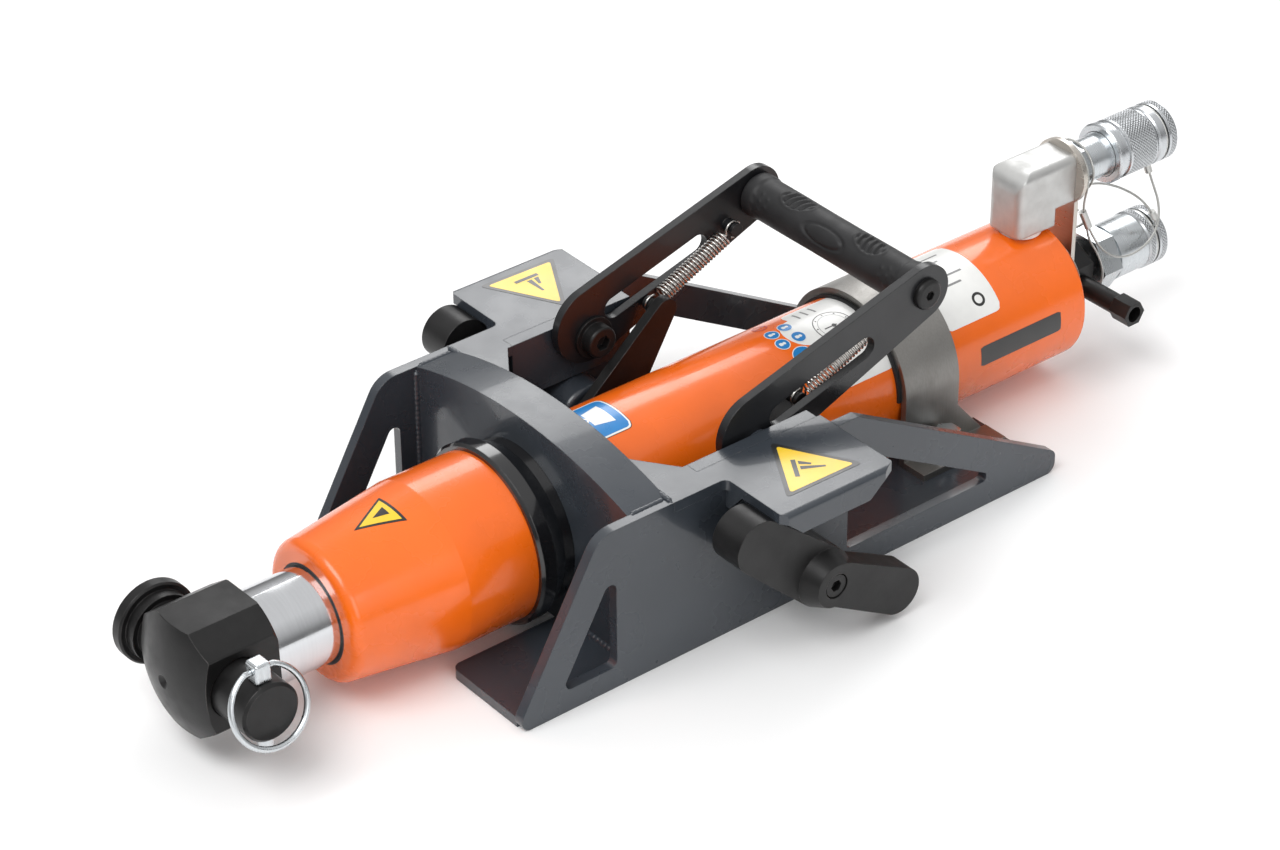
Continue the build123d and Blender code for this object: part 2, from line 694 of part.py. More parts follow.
# The ring is a C of wire whose two ends turn in the cross hole of the block.
lean = math.radians(ring_lean)
ring_normal = tuple(math.cos(lean) * a + math.sin(lean) * b for a, b in zip(head_x, head_up))
ring_half_gap = lynch_block / 2 + 3.0
ring_drop = math.sqrt(ring_r ** 2 - ring_half_gap ** 2)
ring_plane = Plane(origin=hinge_point, x_dir=(0, 1, 0), z_dir=ring_normal)
ring_side = 1 if ring_plane.y_dir.Z < 0 else -1
with BuildPart() as lynch_ring:
    with BuildLine(ring_plane) as ring_path:
        Line((-lynch_block / 2 + 3, 0), (-ring_half_gap, 0))
        ThreePointArc((-ring_half_gap, 0), (0, ring_side * (ring_drop + ring_r)), (ring_half_gap, 0))
        Line((ring_half_gap, 0), (lynch_block / 2 - 3, 0))
    with BuildSketch(Plane(origin=ring_path.line @ 0, z_dir=ring_path.line % 0)):
        Circle(ring_wire_r)
    sweep(path=ring_path.line, transition=Transition.ROUND)
lynch_ring.part.label = "lynch_ring"
export_step(lynch_ring.part, "parts/lynch_ring.step")

# --------------------------------------------------------------- rear fittings
passage_r = 4.0
port_depth = 12.0
with BuildPart() as rear_plug:
    with BuildSketch(ram_plane):
        with BuildLine():
            Polyline((plug_front_y, 0), (plug_front_y, bore_r), (tube_rear_y, bore_r), (tube_rear_y, 0),
                     close=True)
        make_face()
    revolve(axis=ram_axis)
    with Locations((0, elbow_y, flat_z - elbow_stud_len)):
        Cylinder(elbow_stud_r, 20, align=(Align.CENTER, Align.CENTER, Align.MIN), mode=Mode.SUBTRACT)
    with Locations((0, elbow_y, ram_z + bore_r / 2)):
        Cylinder(passage_r, bore_r, align=(Align.CENTER, Align.CENTER, Align.MIN), mode=Mode.SUBTRACT)
    with BuildSketch(ram_cross_plane(plug_front_y, ram_z + bore_r / 2)):
        Circle(passage_r)
    extrude(amount=-(elbow_y - plug_front_y), mode=Mode.SUBTRACT)
    with BuildSketch(ram_cross_plane(tube_rear_y)):
        Circle(adapter_r)
    extrude(amount=port_depth, mode=Mode.SUBTRACT)
rear_plug.part.label = "rear_plug"
export_step(rear_plug.part, "parts/rear_plug.step")

with BuildPart() as elbow_washer:
    with Locations((0, elbow_y, flat_z)):
        Cylinder(washer_r, washer_t, align=(Align.CENTER, Align.CENTER, Align.MIN))
        Cylinder(elbow_stud_r, washer_t, align=(Align.CENTER, Align.CENTER, Align.MIN), mode=Mode.SUBTRACT)
    fillet(elbow_washer.edges().group_by(Axis.Z)[-1].sort_by(SortBy.LENGTH)[-1], 1.0)
elbow_washer.part.label = "elbow_washer"
export_step(elbow_washer.part, "parts/elbow_washer.step")

elbow_foot_z = flat_z + washer_t
# A forging: its side outline, rounded where the front meets the top, is kept
# inside a section with rounded corners seen from the rear and from above.
elbow_nick = elbow_round * (1 - math.sqrt(0.5))
with BuildPart() as elbow_fitting:
    with BuildSketch(side_plane(-elbow_w / 2)):
        with BuildLine():
            Polyline((elbow_front_y, elbow_top_z - elbow_round), (elbow_front_y, elbow_foot_z),
                     (elbow_rear_y, elbow_foot_z), (elbow_rear_y, coupler_z - elbow_below),
                     (plate_y, coupler_z - elbow_below), (plate_y, elbow_top_z),
                     (elbow_front_y + elbow_round, elbow_top_z))
            ThreePointArc((elbow_front_y + elbow_round, elbow_top_z),
                          (elbow_front_y + elbow_nick, elbow_top_z - elbow_nick),
                          (elbow_front_y, elbow_top_z - elbow_round))
        make_face()
    extrude(amount=elbow_w)
    with BuildSketch(ram_cross_plane(elbow_front_y, coupler_z - elbow_below)):
        with Locations((0, (elbow_top_z - coupler_z + elbow_below) / 2 - elbow_w)):
            RectangleRounded(elbow_w, elbow_top_z - coupler_z + elbow_below + 2 * elbow_w, elbow_edge_r)
    extrude(amount=elbow_front_y - plate_y, mode=Mode.INTERSECT)
    with BuildSketch(Plane.XY.offset(elbow_foot_z)):
        with Locations((0, (elbow_front_y + plate_y) / 2 + elbow_w)):
            RectangleRounded(elbow_w, plate_y - elbow_front_y + 2 * elbow_w, elbow_edge_r)
    extrude(amount=elbow_top_z - elbow_foot_z, mode=Mode.INTERSECT)
    with Locations((0, elbow_y, elbow_foot_z)):
        Cylinder(elbow_stud_r, elbow_stud_len + washer_t,
                 align=(Align.CENTER, Align.CENTER, Align.MAX))
    with BuildSketch(ram_cross_plane(plate_y, coupler_z)):
        Circle(neck_core_r)
    extrude(amount=port_depth, mode=Mode.SUBTRACT)
elbow_fitting.part.label = "elbow_fitting"
export_step(elbow_fitting.part, "parts/elbow_fitting.step")

plate_rear_y = plate_y + plate_t
with BuildPart() as coupler_bracket:
    with BuildSketch(ram_cross_plane(plate_y, 0)):
        with Locations((0, coupler_z)):
            Circle(plate_disc_r)
        with Locations((0, ram_z)):
            Circle(plate_disc_r)
        with Locations((0, (coupler_z + ram_z) / 2)):
            Rectangle(2 * plate_half_w, coupler_z - ram_z)
        with Locations((0, coupler_z)):
            Circle(neck_core_r, mode=Mode.SUBTRACT)
        with Locations((0, ram_z)):
            Circle(adapter_r, mode=Mode.SUBTRACT)
    extrude(amount=-plate_t)
coupler_bracket.part.label = "coupler_bracket"
export_step(coupler_bracket.part, "parts/coupler_bracket.step")

spout_end = 8.5                 # how far a spout stands out of its sleeve
neck_hex_len = 11.0
neck_hex_end = plate_rear_y + neck_hex_len
spout_bore_r = 8.0
with BuildPart() as upper_coupler_body:
    with BuildSketch(coupler_plane):
        with BuildLine():
            Polyline((plate_y - port_depth, 0), (plate_y - port_depth, neck_core_r),
                     (neck_hex_end, neck_core_r), (neck_hex_end, neck_r), (sleeve_front_y - 0.5, neck_r),
                     (sleeve_front_y - 0.5, spout_r), (sleeve_rear_y + spout_end, spout_r),
                     (sleeve_rear_y + spout_end, spout_bore_r), (sleeve_rear_y - 10, spout_bore_r),
                     (sleeve_rear_y - 10, 0), close=True)
        make_face()
    revolve(axis=coupler_axis)
    with BuildSketch(ram_cross_plane(plate_rear_y, coupler_z)):
        RegularPolygon(neck_r - 1.2, 6, major_radius=False)
    extrude(amount=-neck_hex_len)
upper_coupler_body.part.label = "upper_coupler_body"
export_step(upper_coupler_body.part, "parts/upper_coupler_body.step")

with BuildPart() as port_adapter:
    with BuildSketch(ram_plane):
        with BuildLine():
            Polyline((tube_rear_y - port_depth, 0), (tube_rear_y - port_depth, adapter_r),
                     (tube_rear_y, adapter_r), (tube_rear_y, adapter_hex / 2 + 1),
                     (plate_y, adapter_hex / 2 + 1), (plate_y, adapter_r), (lower_hex_y, adapter_r),
                     (lower_hex_y, 0), close=True)
        make_face()
    revolve(axis=ram_axis)
    with BuildSketch(ram_cross_plane(plate_rear_y)):
        RegularPolygon(adapter_hex / 2, 6, major_radius=False, rotation=30)
    extrude(amount=-adapter_hex_len)
    with BuildSketch(Plane(origin=(0, nipple_y, nipple_z), x_dir=(0, 1, 0), z_dir=(1, 0, 0))):
        Circle(nipple_r - 1)
    extrude(amount=adapter_hex, mode=Mode.SUBTRACT)
port_adapter.part.label = "port_adapter"
export_step(port_adapter.part, "parts/port_adapter.step")

nipple_axis = Axis((0, nipple_y, nipple_z), (1, 0, 0))
with BuildPart() as feed_nipple:
    with BuildSketch(Plane(origin=(0, nipple_y, nipple_z), x_dir=(1, 0, 0), z_dir=(0, -1, 0))):
        with BuildLine():
            Polyline((4, 0), (4, nipple_r - 1), (adapter_hex / 2 + 1.2, nipple_r - 1),
                     (adapter_hex / 2 + 1.2, nipple_r), (nipple_end_x - 2, nipple_r),
                     (nipple_end_x - 2, 0), close=True)
        make_face()
    revolve(axis=nipple_axis)
    nipple_hex_plane = Plane(origin=(nipple_end_x - nipple_hex_len, nipple_y, nipple_z),
                             x_dir=(0, 1, 0), z_dir=(1, 0, 0))
    with BuildSketch(nipple_hex_plane):
        RegularPolygon(nipple_hex / 2, 6, major_radius=False)
    extrude(amount=nipple_hex_len)
    with BuildSketch(nipple_hex_plane.offset(nipple_hex_len)):
        Circle(nipple_bore_r)
    extrude(amount=-nipple_bore_depth, mode=Mode.SUBTRACT)
feed_nipple.part.label = "feed_nipple"
export_step(feed_nipple.part, "parts/feed_nipple.step")

with BuildPart() as lower_coupler_body:
    with BuildSketch(ram_cross_plane(lower_hex_y)):
        RegularPolygon(lower_hex / 2, 6, major_radius=False)
    extrude(amount=-lower_hex_len)
    with BuildSketch(ram_plane):
        with BuildLine():
            Polyline((lower_hex_y + lower_hex_len, 0), (lower_hex_y + lower_hex_len, lower_groove_r),
                     (lower_hex_y + lower_hex_len + 2, lower_groove_r),
                     (lower_hex_y + lower_hex_len + 2, lower_body_r),
                     (lower_body_end, lower_body_r), (lower_body_end, spout_r),
                     (lower_body_end + spout_end, spout_r), (lower_body_end + spout_end, spout_bore_r),
                     (lower_body_end - 10, spout_bore_r), (lower_body_end - 10, 0), close=True)
        make_face()
    revolve(axis=ram_axis)
lower_coupler_body.part.label = "lower_coupler_body"
export_step(lower_coupler_body.part, "parts/lower_coupler_body.step")

with BuildPart() as upper_coupler_sleeve:
    with BuildSketch(coupler_plane):
        with BuildLine():
            Polyline((sleeve_front_y, sleeve_inner_r), (sleeve_front_y, sleeve_r - 0.6),
                     (sleeve_front_y + 1, sleeve_r + 0.4), (sleeve_front_y + 4, sleeve_r + 0.4),
                     (sleeve_front_y + 5, sleeve_r - 1), (sleeve_front_y + 8, sleeve_r - 1),
                     (sleeve_front_y + 8.6, sleeve_r), (sleeve_rear_y - 1, sleeve_r),
                     (sleeve_rear_y, sleeve_r - 1), (sleeve_rear_y, sleeve_inner_r), close=True)
        make_face()
    revolve(axis=coupler_axis)
upper_coupler_sleeve.part.label = "upper_coupler_sleeve"
export_step(upper_coupler_sleeve.part, "parts/upper_coupler_sleeve.step")

cap_groove_r = cap_r - 2.2
caps = (("upper_dust_cap", coupler_plane, coupler_axis, sleeve_rear_y + cap_gap),
        ("lower_dust_cap", ram_plane, ram_axis, lower_body_end + cap_gap))
for name, plane, axis, start_y in caps:
    with BuildPart() as dust_cap:
        with BuildSketch(plane):
            with BuildLine():
                Polyline((start_y, cap_r - cap_wall), (start_y, cap_r - 1), (start_y + 1, cap_r),
                         (start_y + cap_groove_y - 1.2, cap_r),
                         (start_y + cap_groove_y - 1.2, cap_groove_r),
                         (start_y + cap_groove_y + 1.2, cap_groove_r),
                         (start_y + cap_groove_y + 1.2, cap_r), (start_y + cap_len - 1, cap_r),
                         (start_y + cap_len, cap_r - 1), (start_y + cap_len, 0),
                         (start_y + cap_len - 4, 0), (start_y + cap_len - 4, cap_r - cap_wall), close=True)
            make_face()
        revolve(axis=axis)
    dust_cap.part.label = name
    export_step(dust_cap.part, f"parts/{name}.step")

# ------------------------------------------------------------------- the handle
with BuildPart() as grip:
    with BuildSketch(Plane(origin=(0, grip_y, grip_z), x_dir=(1, 0, 0), z_dir=(0, -1, 0))):
        with BuildLine():
            grip_end = arm_inner_x - end_gap
            Polyline((-grip_end, grip_rod_r), (-grip_end, grip_r - 0.6), (-grip_end + 1.2, grip_r + 0.6),
                     (-grip_end + 7, grip_r + 0.6), (-grip_end + 9, grip_r - 0.4))
            ThreePointArc((-grip_end + 9, grip_r - 0.4), (0, grip_r + 0.4), (grip_end - 9, grip_r - 0.4))
            Polyline((grip_end - 9, grip_r - 0.4), (grip_end - 7, grip_r + 0.6),
                     (grip_end - 1.2, grip_r + 0.6), (grip_end, grip_r - 0.6), (grip_end, grip_rod_r),
                     (-grip_end, grip_rod_r))
        make_face()
    revolve(axis=Axis((0, grip_y, grip_z), (1, 0, 0)))
grip.part.label = "grip"
export_step(grip.part, "parts/grip.step")

with BuildPart() as grip_rod:
    with BuildSketch(side_plane(-arm_inner_x)):
        with Locations((grip_y, grip_z)):
            Circle(grip_rod_r)
    extrude(amount=2 * arm_inner_x)
    for name, sx in sides:
        with BuildSketch(side_plane(sx * arm_inner_x)):
            with Locations((grip_y, grip_z)):
                Circle(grip_screw_shank_r)
        extrude(amount=-sx * 16, mode=Mode.SUBTRACT)
grip_rod.part.label = "grip_rod"
export_step(grip_rod.part, "parts/grip_rod.step")

with BuildPart() as grip_screws:
    for name, sx in sides:
        with BuildSketch(side_plane(sx * arm_outer_x)):
            with Locations((grip_y, grip_z)):
                Circle(grip_screw_r)
        head = extrude(amount=sx * grip_screw_t)
        fillet(head.edges().filter_by(GeomType.CIRCLE).sort_by(Axis.X)[-1 if sx > 0 else 0], 2.2)
        with BuildSketch(side_plane(sx * (arm_outer_x + grip_screw_t))):
            with Locations((grip_y, grip_z)):
                RegularPolygon(2.5, 6, major_radius=False)
        extrude(amount=-sx * 2.4, mode=Mode.SUBTRACT)
        with BuildSketch(side_plane(sx * arm_outer_x)):
            with Locations((grip_y, grip_z)):
                Circle(grip_screw_shank_r)
        extrude(amount=-sx * (arm_t + 14))
grip_screws.part.label = "grip_screws"
export_step(grip_screws.part, "parts/grip_screws.step")

slot_mid = tuple((a + b) / 2 for a, b in zip(slot_low, slot_high))
slot_run = math.dist(slot_low, slot_high)
slot_turn = math.degrees(math.atan2(slot_high[1] - slot_low[1], slot_high[0] - slot_low[0]))
for name, sx in sides:
    with BuildPart() as handle_arm:
        with BuildSketch(side_plane(sx * arm_inner_x)):
            with BuildSketch(side_plane(sx * arm_inner_x), mode=Mode.PRIVATE) as ends:
                with Locations(arm_root):
                    Circle(arm_root_r)
                with Locations((grip_y, grip_z)):
                    Circle(arm_tip_r)
            make_hull(ends.edges())
            with Locations(Location((*slot_mid, 0), (0, 0, slot_turn))):
                SlotCenterToCenter(slot_run, slot_w, mode=Mode.SUBTRACT)
            with Locations((pivot_y, pivot_z)):
                Circle(pivot_r + pivot_clear, mode=Mode.SUBTRACT)
            with Locations((grip_y, grip_z)):
                Circle(grip_screw_shank_r, mode=Mode.SUBTRACT)
        extrude(amount=sx * arm_t)
        with BuildSketch(side_plane(sx * arm_inner_x)):
            with Locations(arm_post):
                Circle(post_r)
        extrude(amount=-sx * post_len)
        with BuildSketch(side_plane(sx * (spring_x - post_groove_w / 2))):
            with Locations(arm_post):
                Circle(post_r)
                Circle(post_groove_r, mode=Mode.SUBTRACT)
        extrude(amount=sx * post_groove_w, mode=Mode.SUBTRACT)
    handle_arm.part.label = f"handle_arm_{name}"
    export_step(handle_arm.part, f"parts/handle_arm_{name}.step")

washer_outer_x = arm_inner_x - end_gap
with BuildPart() as pivot_bolts:
    for name, sx in sides:
        with BuildSketch(side_plane(sx * (washer_outer_x - pivot_washer_t))):
            with Locations((pivot_y, pivot_z)):
                Circle(pivot_washer_r)
        extrude(amount=sx * pivot_washer_t)
        with BuildSketch(side_plane(sx * (washer_outer_x - pivot_washer_t))):
            with Locations((pivot_y, pivot_z)):
                Circle(pivot_head_r)
        head = extrude(amount=-sx * pivot_head_t)
        fillet(head.edges().filter_by(GeomType.CIRCLE).sort_by(Axis.X)[0 if sx > 0 else -1], 1.5)
        with BuildSketch(side_plane(sx * (washer_outer_x - pivot_washer_t - pivot_head_t))):
            with Locations((pivot_y, pivot_z)):
                RegularPolygon(pivot_socket_r, 6, major_radius=False)
        extrude(amount=sx * pivot_socket_depth, mode=Mode.SUBTRACT)
        with BuildSketch(side_plane(sx * washer_outer_x)):
            with Locations((pivot_y, pivot_z)):
                Circle(pivot_r)
        extrude(amount=sx * (web_inner_x + web_t - washer_outer_x))
pivot_bolts.part.label = "pivot_bolts"
export_step(pivot_bolts.part, "parts/pivot_bolts.step")

# --------------------------------------------------------------- the dog levers
for name, sx in sides:
    with BuildPart() as dog_lever:
        with BuildSketch(side_plane(sx * lever_inner_x)):
            with BuildSketch(side_plane(sx * lever_inner_x), mode=Mode.PRIVATE) as lever_ends:
                with Locations(nose_pad):
                    Circle(nose_pad_r)
                with Locations((dog_y, dog_z)):
                    Circle(hub_r)
            make_hull(lever_ends.edges())
        extrude(amount=sx * (lever_outer_x - lever_inner_x))
        with BuildSketch(side_plane(sx * (cradle_half_width + hub_gap))):
            with Locations((dog_y, dog_z)):
                Circle(hub_r)
        extrude(amount=sx * (lever_outer_x - cradle_half_width - hub_gap))
        with BuildSketch(side_plane(sx * lever_outer_x)):
            with Locations((dog_y, dog_z)):
                Circle(hub_r)
        with BuildSketch(side_plane(sx * lever_face_x)):
            with Locations((dog_y, dog_z)):
                Circle(hub_face_r)
        loft()
        with BuildSketch(side_plane(sx * tail_inner_x)):
            with BuildSketch(side_plane(sx * tail_inner_x), mode=Mode.PRIVATE) as tail_ends:
                with Locations(tail_end):
                    Circle(tail_end_r)
                with Locations((dog_y + 4, dog_z - 1)):
                    Circle(hub_face_r)
            make_hull(tail_ends.edges())
        extrude(amount=sx * (lever_face_x - tail_inner_x))
        with BuildSketch(side_plane(sx * (cradle_half_width + hub_gap))):
            with Locations((dog_y, dog_z)):
                Circle(shaft_r)
        extrude(amount=sx * (shaft_end_x - cradle_half_width - hub_gap), mode=Mode.SUBTRACT)
        with BuildSketch(side_plane(sx * shaft_end_x)):
            with Locations((dog_y, dog_z)):
                Circle(dog_screw_r)
        extrude(amount=sx * (lever_face_x - shaft_end_x), mode=Mode.SUBTRACT)
        with BuildSketch(side_plane(sx * (lever_face_x - dog_counterbore))):
            with Locations((dog_y, dog_z)):
                Circle(dog_counterbore_r)
        extrude(amount=sx * dog_counterbore, mode=Mode.SUBTRACT)
    dog_lever.part.label = f"dog_lever_{name}"
    export_step(dog_lever.part, f"parts/dog_lever_{name}.step")

for name, sx in sides:
    with BuildPart() as dog_shaft:
        with BuildSketch(side_plane(sx * crank_outer_x)):
            with Locations((dog_y, dog_z)):
                Circle(shaft_r)
        extrude(amount=sx * (shaft_end_x - crank_outer_x))
        with BuildSketch(side_plane(sx * crank_inner_x)):
            with Locations((dog_y, dog_z)):
                Circle(crank_tenon_r)
        extrude(amount=sx * crank_t)
        with BuildSketch(side_plane(sx * shaft_end_x)):
            with Locations((dog_y, dog_z)):
                Circle(dog_screw_r)
        extrude(amount=-sx * dog_screw_len, mode=Mode.SUBTRACT)
    dog_shaft.part.label = f"dog_shaft_{name}"
    export_step(dog_shaft.part, f"parts/dog_shaft_{name}.step")

    with BuildPart() as dog_screw:
        with BuildSketch(side_plane(sx * (lever_face_x - dog_counterbore))):
            with Locations((dog_y, dog_z)):
                Circle(dog_screw_head_r)
        extrude(amount=sx * dog_screw_head_t)
        with BuildSketch(side_plane(sx * (lever_face_x - dog_counterbore + dog_screw_head_t))):
            with Locations((dog_y, dog_z)):
                RegularPolygon(3.0, 6, major_radius=False)
        extrude(amount=-sx * 4.0, mode=Mode.SUBTRACT)
        with BuildSketch(side_plane(sx * (lever_face_x - dog_counterbore))):
            with Locations((dog_y, dog_z)):
                Circle(dog_screw_r)
        extrude(amount=-sx * (lever_face_x - dog_counterbore - shaft_end_x + dog_screw_len - 2))
    dog_screw.part.label = f"dog_screw_{name}"
    export_step(dog_screw.part, f"parts/dog_screw_{name}.step")

    with BuildPart() as crank:
        with BuildSketch(side_plane(sx * crank_inner_x)):
            with BuildSketch(side_plane(sx * crank_inner_x), mode=Mode.PRIVATE) as crank_ends:
                with Locations((dog_y, dog_z)):
                    Circle(crank_root_r)
                with Locations(crank_tip):
                    Circle(crank_tip_r)
            make_hull(crank_ends.edges())
            with Locations((dog_y, dog_z)):
                Circle(crank_tenon_r, mode=Mode.SUBTRACT)
        extrude(amount=sx * crank_t)
        with BuildSketch(side_plane(sx * crank_outer_x)):
            with Locations(crank_post):
                Circle(post_r)
        extrude(amount=sx * post_len)
        with BuildSketch(side_plane(sx * (spring_x - post_groove_w / 2))):
            with Locations(crank_post):
                Circle(post_r)
                Circle(post_groove_r, mode=Mode.SUBTRACT)
        extrude(amount=sx * post_groove_w, mode=Mode.SUBTRACT)
    crank.part.label = f"crank_{name}"
    export_step(crank.part, f"parts/crank_{name}.step")

# Each spring runs from the crank's post to the arm's post. Its coil is a plain
# tube with closed ends, and its upper hook is a piece of its own that slides.
spring_run = math.dist(crank_post, arm_post)
spring_dir = tuple((b - a) / spring_run for a, b in zip(crank_post, arm_post))
hook_seat = hook_r - hook_wire_r - post_groove_r - 0.3
hook_shank = coil_margin - hook_seat - hook_r + coil_wall / 2
coil_end = spring_run - coil_margin


def spring_plane(x, distance):
    """Plane across a spring at x, at a distance from the crank's post."""
    return Plane(origin=(x, *along(crank_post, arm_post, distance)), x_dir=(1, 0, 0),
                 z_dir=(0, *spring_dir))


# Name, ends of the coil, centre of the hook's ring, start of the hook's shank
spring_pieces = (
    ("spring", coil_margin, coil_end - coil_wall, hook_seat, hook_seat + hook_r),
    ("spring_hook", coil_end - coil_wall, coil_end, spring_run - hook_seat, coil_end - coil_wall / 2),
)
for name, sx in sides:
    for piece, coil_from, coil_to, ring_at, shank_from in spring_pieces:
        ring_y, ring_z = along(crank_post, arm_post, ring_at)
        with BuildPart() as spring:
            with BuildSketch(spring_plane(sx * spring_x, coil_from)):
                Circle(coil_r)
            extrude(amount=coil_to - coil_from)
            if piece == "spring":
                with BuildSketch(spring_plane(sx * spring_x, coil_from + coil_wall)):
                    Circle(coil_r - coil_wall)
                extrude(amount=coil_to - coil_from - 2 * coil_wall, mode=Mode.SUBTRACT)
            with BuildSketch(Plane(origin=(sx * spring_x, ring_y, ring_z + hook_r), x_dir=(1, 0, 0),
                                   z_dir=(0, 1, 0))):
                Circle(hook_wire_r)
            revolve(axis=Axis((sx * spring_x, ring_y, ring_z), (1, 0, 0)))
            with BuildSketch(spring_plane(sx * spring_x, shank_from)):
                Circle(hook_wire_r)
            extrude(amount=hook_shank)
        spring.part.label = f"{piece}_{name}"
        export_step(spring.part, f"parts/{piece}_{name}.step")

# ------------------------------------------------------------------- lanyards
# Thin wire ropes, x, y, z. The first two loop round the upper coupler's neck and
# end at a dust cap, and the third loops round the neck of the lower coupler.
lanyards = {
    "upper_lanyard": [
        (9.0, 378.6, 91.5), (-8.7, 378.3, 101.0), (-17.3, 378.0, 116.0), (-8.7, 378.0, 131.0),
        (8.7, 378.0, 131.0), (17.3, 378.2, 116.0), (11.8, 378.6, 93.5), (15.0, 382.5, 80.5),
        (19.5, 387.0, 69.0), (21.8, 396.5, 60.0), (22.5, 409.0, 56.2), (22.0, 422.5, 57.8),
        (18.5, 435.5, 63.0), (11.0, 444.0, 72.5), (3.5, 444.0, 85.0), (0.0, 440.6, 98.8),
    ],
    "lower_lanyard": [
        (-5.5, 384.5, 93.5), (8.7, 383.2, 101.0), (17.3, 382.6, 116.0), (8.7, 382.4, 131.0),
        (-8.7, 382.4, 131.0), (-17.3, 382.8, 116.0), (-13.5, 386.0, 99.0), (-9.5, 397.0, 92.5),
        (-6.5, 411.0, 91.5), (0.0, 421.5, 87.3), (7.5, 429.5, 81.3), (15.0, 431.7, 75.5),
        (17.2, 435.5, 67.2), (12.2, 438.9, 60.9),
    ],
    "neck_lanyard": [
        (12.0, 383.6, 80.5), (10.0, 386.5, 71.5), (15.5, 389.8, 63.0), (19.3, 391.5, 53.0),
        (18.5, 392.0, 42.0), (12.0, 392.0, 31.5), (0.0, 392.0, 27.0), (-12.0, 392.0, 31.5),
        (-18.3, 392.0, 43.0), (-16.5, 391.5, 56.0), (-7.5, 389.0, 67.5), (3.5, 386.0, 76.0),
        (9.2, 383.4, 81.8),
    ],
}


def cord_radii(points):
    """Radius of the arc at each inner point of a cord's route."""
    radii = []
    for before, here, after in zip(points, points[1:], points[2:]):
        run_in = Vector(*here) - Vector(*before)
        run_out = Vector(*after) - Vector(*here)
        turn = math.radians(run_in.get_angle(run_out))
        radii.append(0.45 * min(run_in.length, run_out.length) / math.tan(turn / 2))
    return radii


for name, points in lanyards.items():
    radii = cord_radii(points)
    with BuildPart() as lanyard:
        with BuildLine() as route:
            FilletPolyline(*points, radius=radii)
        with BuildSketch(Plane(origin=route.line @ 0, z_dir=route.line % 0)):
            Circle(lanyard_r)
        sweep(path=route.line)
    length = sum(edge.length for edge in route.edges())
    share = lanyard.part.volume / (math.pi * lanyard_r ** 2 * length)
    print(name, f"length {length:.1f}, volume {share:.4f} of section times length, radii",
          " ".join(f"{radius:.1f}" for radius in radii))
    lanyard.part.label = name
    export_step(lanyard.part, f"parts/{name}.step")

# Crimped ferrules on the ropes, and the rope rings in the grooves of the caps
ferrules = (((12.1, 378.9, 92.3), (14.6, 382.1, 82.0)), ((-12.4, 388.8, 97.3), (-10.0, 395.6, 93.3)),
            ((1.9, 442.5, 90.8), (0.6, 441.3, 96.2)), ((15.4, 432.4, 74.0), (16.6, 434.4, 69.5)))
with BuildPart() as lanyard_ferrules:
    for start, end in ferrules:
        with BuildSketch(Plane(origin=start, z_dir=Vector(*end) - Vector(*start))):
            Circle(ferrule_r)
        extrude(amount=math.dist(start, end))
    for name, plane, axis, start_y in caps:
        with BuildSketch(plane):
            with Locations((start_y + cap_groove_y, cap_groove_r + lanyard_r + 0.3)):
                Circle(lanyard_r)
        revolve(axis=axis)
lanyard_ferrules.part.label = "lanyard_ferrules"
export_step(lanyard_ferrules.part, "parts/lanyard_ferrules.step")
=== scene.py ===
"""Looks of the hydraulic rescue ram in its floor cradle.

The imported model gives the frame: metres, +Z up, the ram along Y with its
plunger to -Y. Every helper here works in millimetres and converts at the end.
"""
import json
import math

import bpy
import numpy as np
from mathutils import Matrix, Vector

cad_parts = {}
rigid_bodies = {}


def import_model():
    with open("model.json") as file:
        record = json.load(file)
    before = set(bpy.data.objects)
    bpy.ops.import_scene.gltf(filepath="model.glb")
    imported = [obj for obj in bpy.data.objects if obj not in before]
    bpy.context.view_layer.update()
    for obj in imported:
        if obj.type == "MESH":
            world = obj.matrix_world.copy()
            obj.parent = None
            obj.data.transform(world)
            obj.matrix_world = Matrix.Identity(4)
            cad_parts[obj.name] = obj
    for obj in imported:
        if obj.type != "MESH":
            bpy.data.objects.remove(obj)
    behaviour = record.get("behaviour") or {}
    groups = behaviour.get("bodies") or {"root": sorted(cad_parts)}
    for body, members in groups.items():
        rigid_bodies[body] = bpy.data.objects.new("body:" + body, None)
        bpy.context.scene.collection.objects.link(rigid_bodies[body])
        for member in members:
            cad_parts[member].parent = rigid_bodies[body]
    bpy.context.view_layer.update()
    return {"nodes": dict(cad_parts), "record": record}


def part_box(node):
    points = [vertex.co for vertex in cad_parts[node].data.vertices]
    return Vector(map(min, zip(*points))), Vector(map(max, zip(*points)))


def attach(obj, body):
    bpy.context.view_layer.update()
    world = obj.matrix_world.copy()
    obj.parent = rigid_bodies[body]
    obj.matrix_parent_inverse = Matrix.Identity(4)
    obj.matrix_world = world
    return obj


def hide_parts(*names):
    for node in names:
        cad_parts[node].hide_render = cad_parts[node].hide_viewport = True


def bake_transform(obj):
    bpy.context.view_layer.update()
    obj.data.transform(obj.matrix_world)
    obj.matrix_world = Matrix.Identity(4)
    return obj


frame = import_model()
nodes = frame["nodes"]
MM = 0.001


def box_mm(node):
    """Lowest and highest corner of a CAD node, in millimetres."""
    low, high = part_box(node)
    return low / MM, high / MM


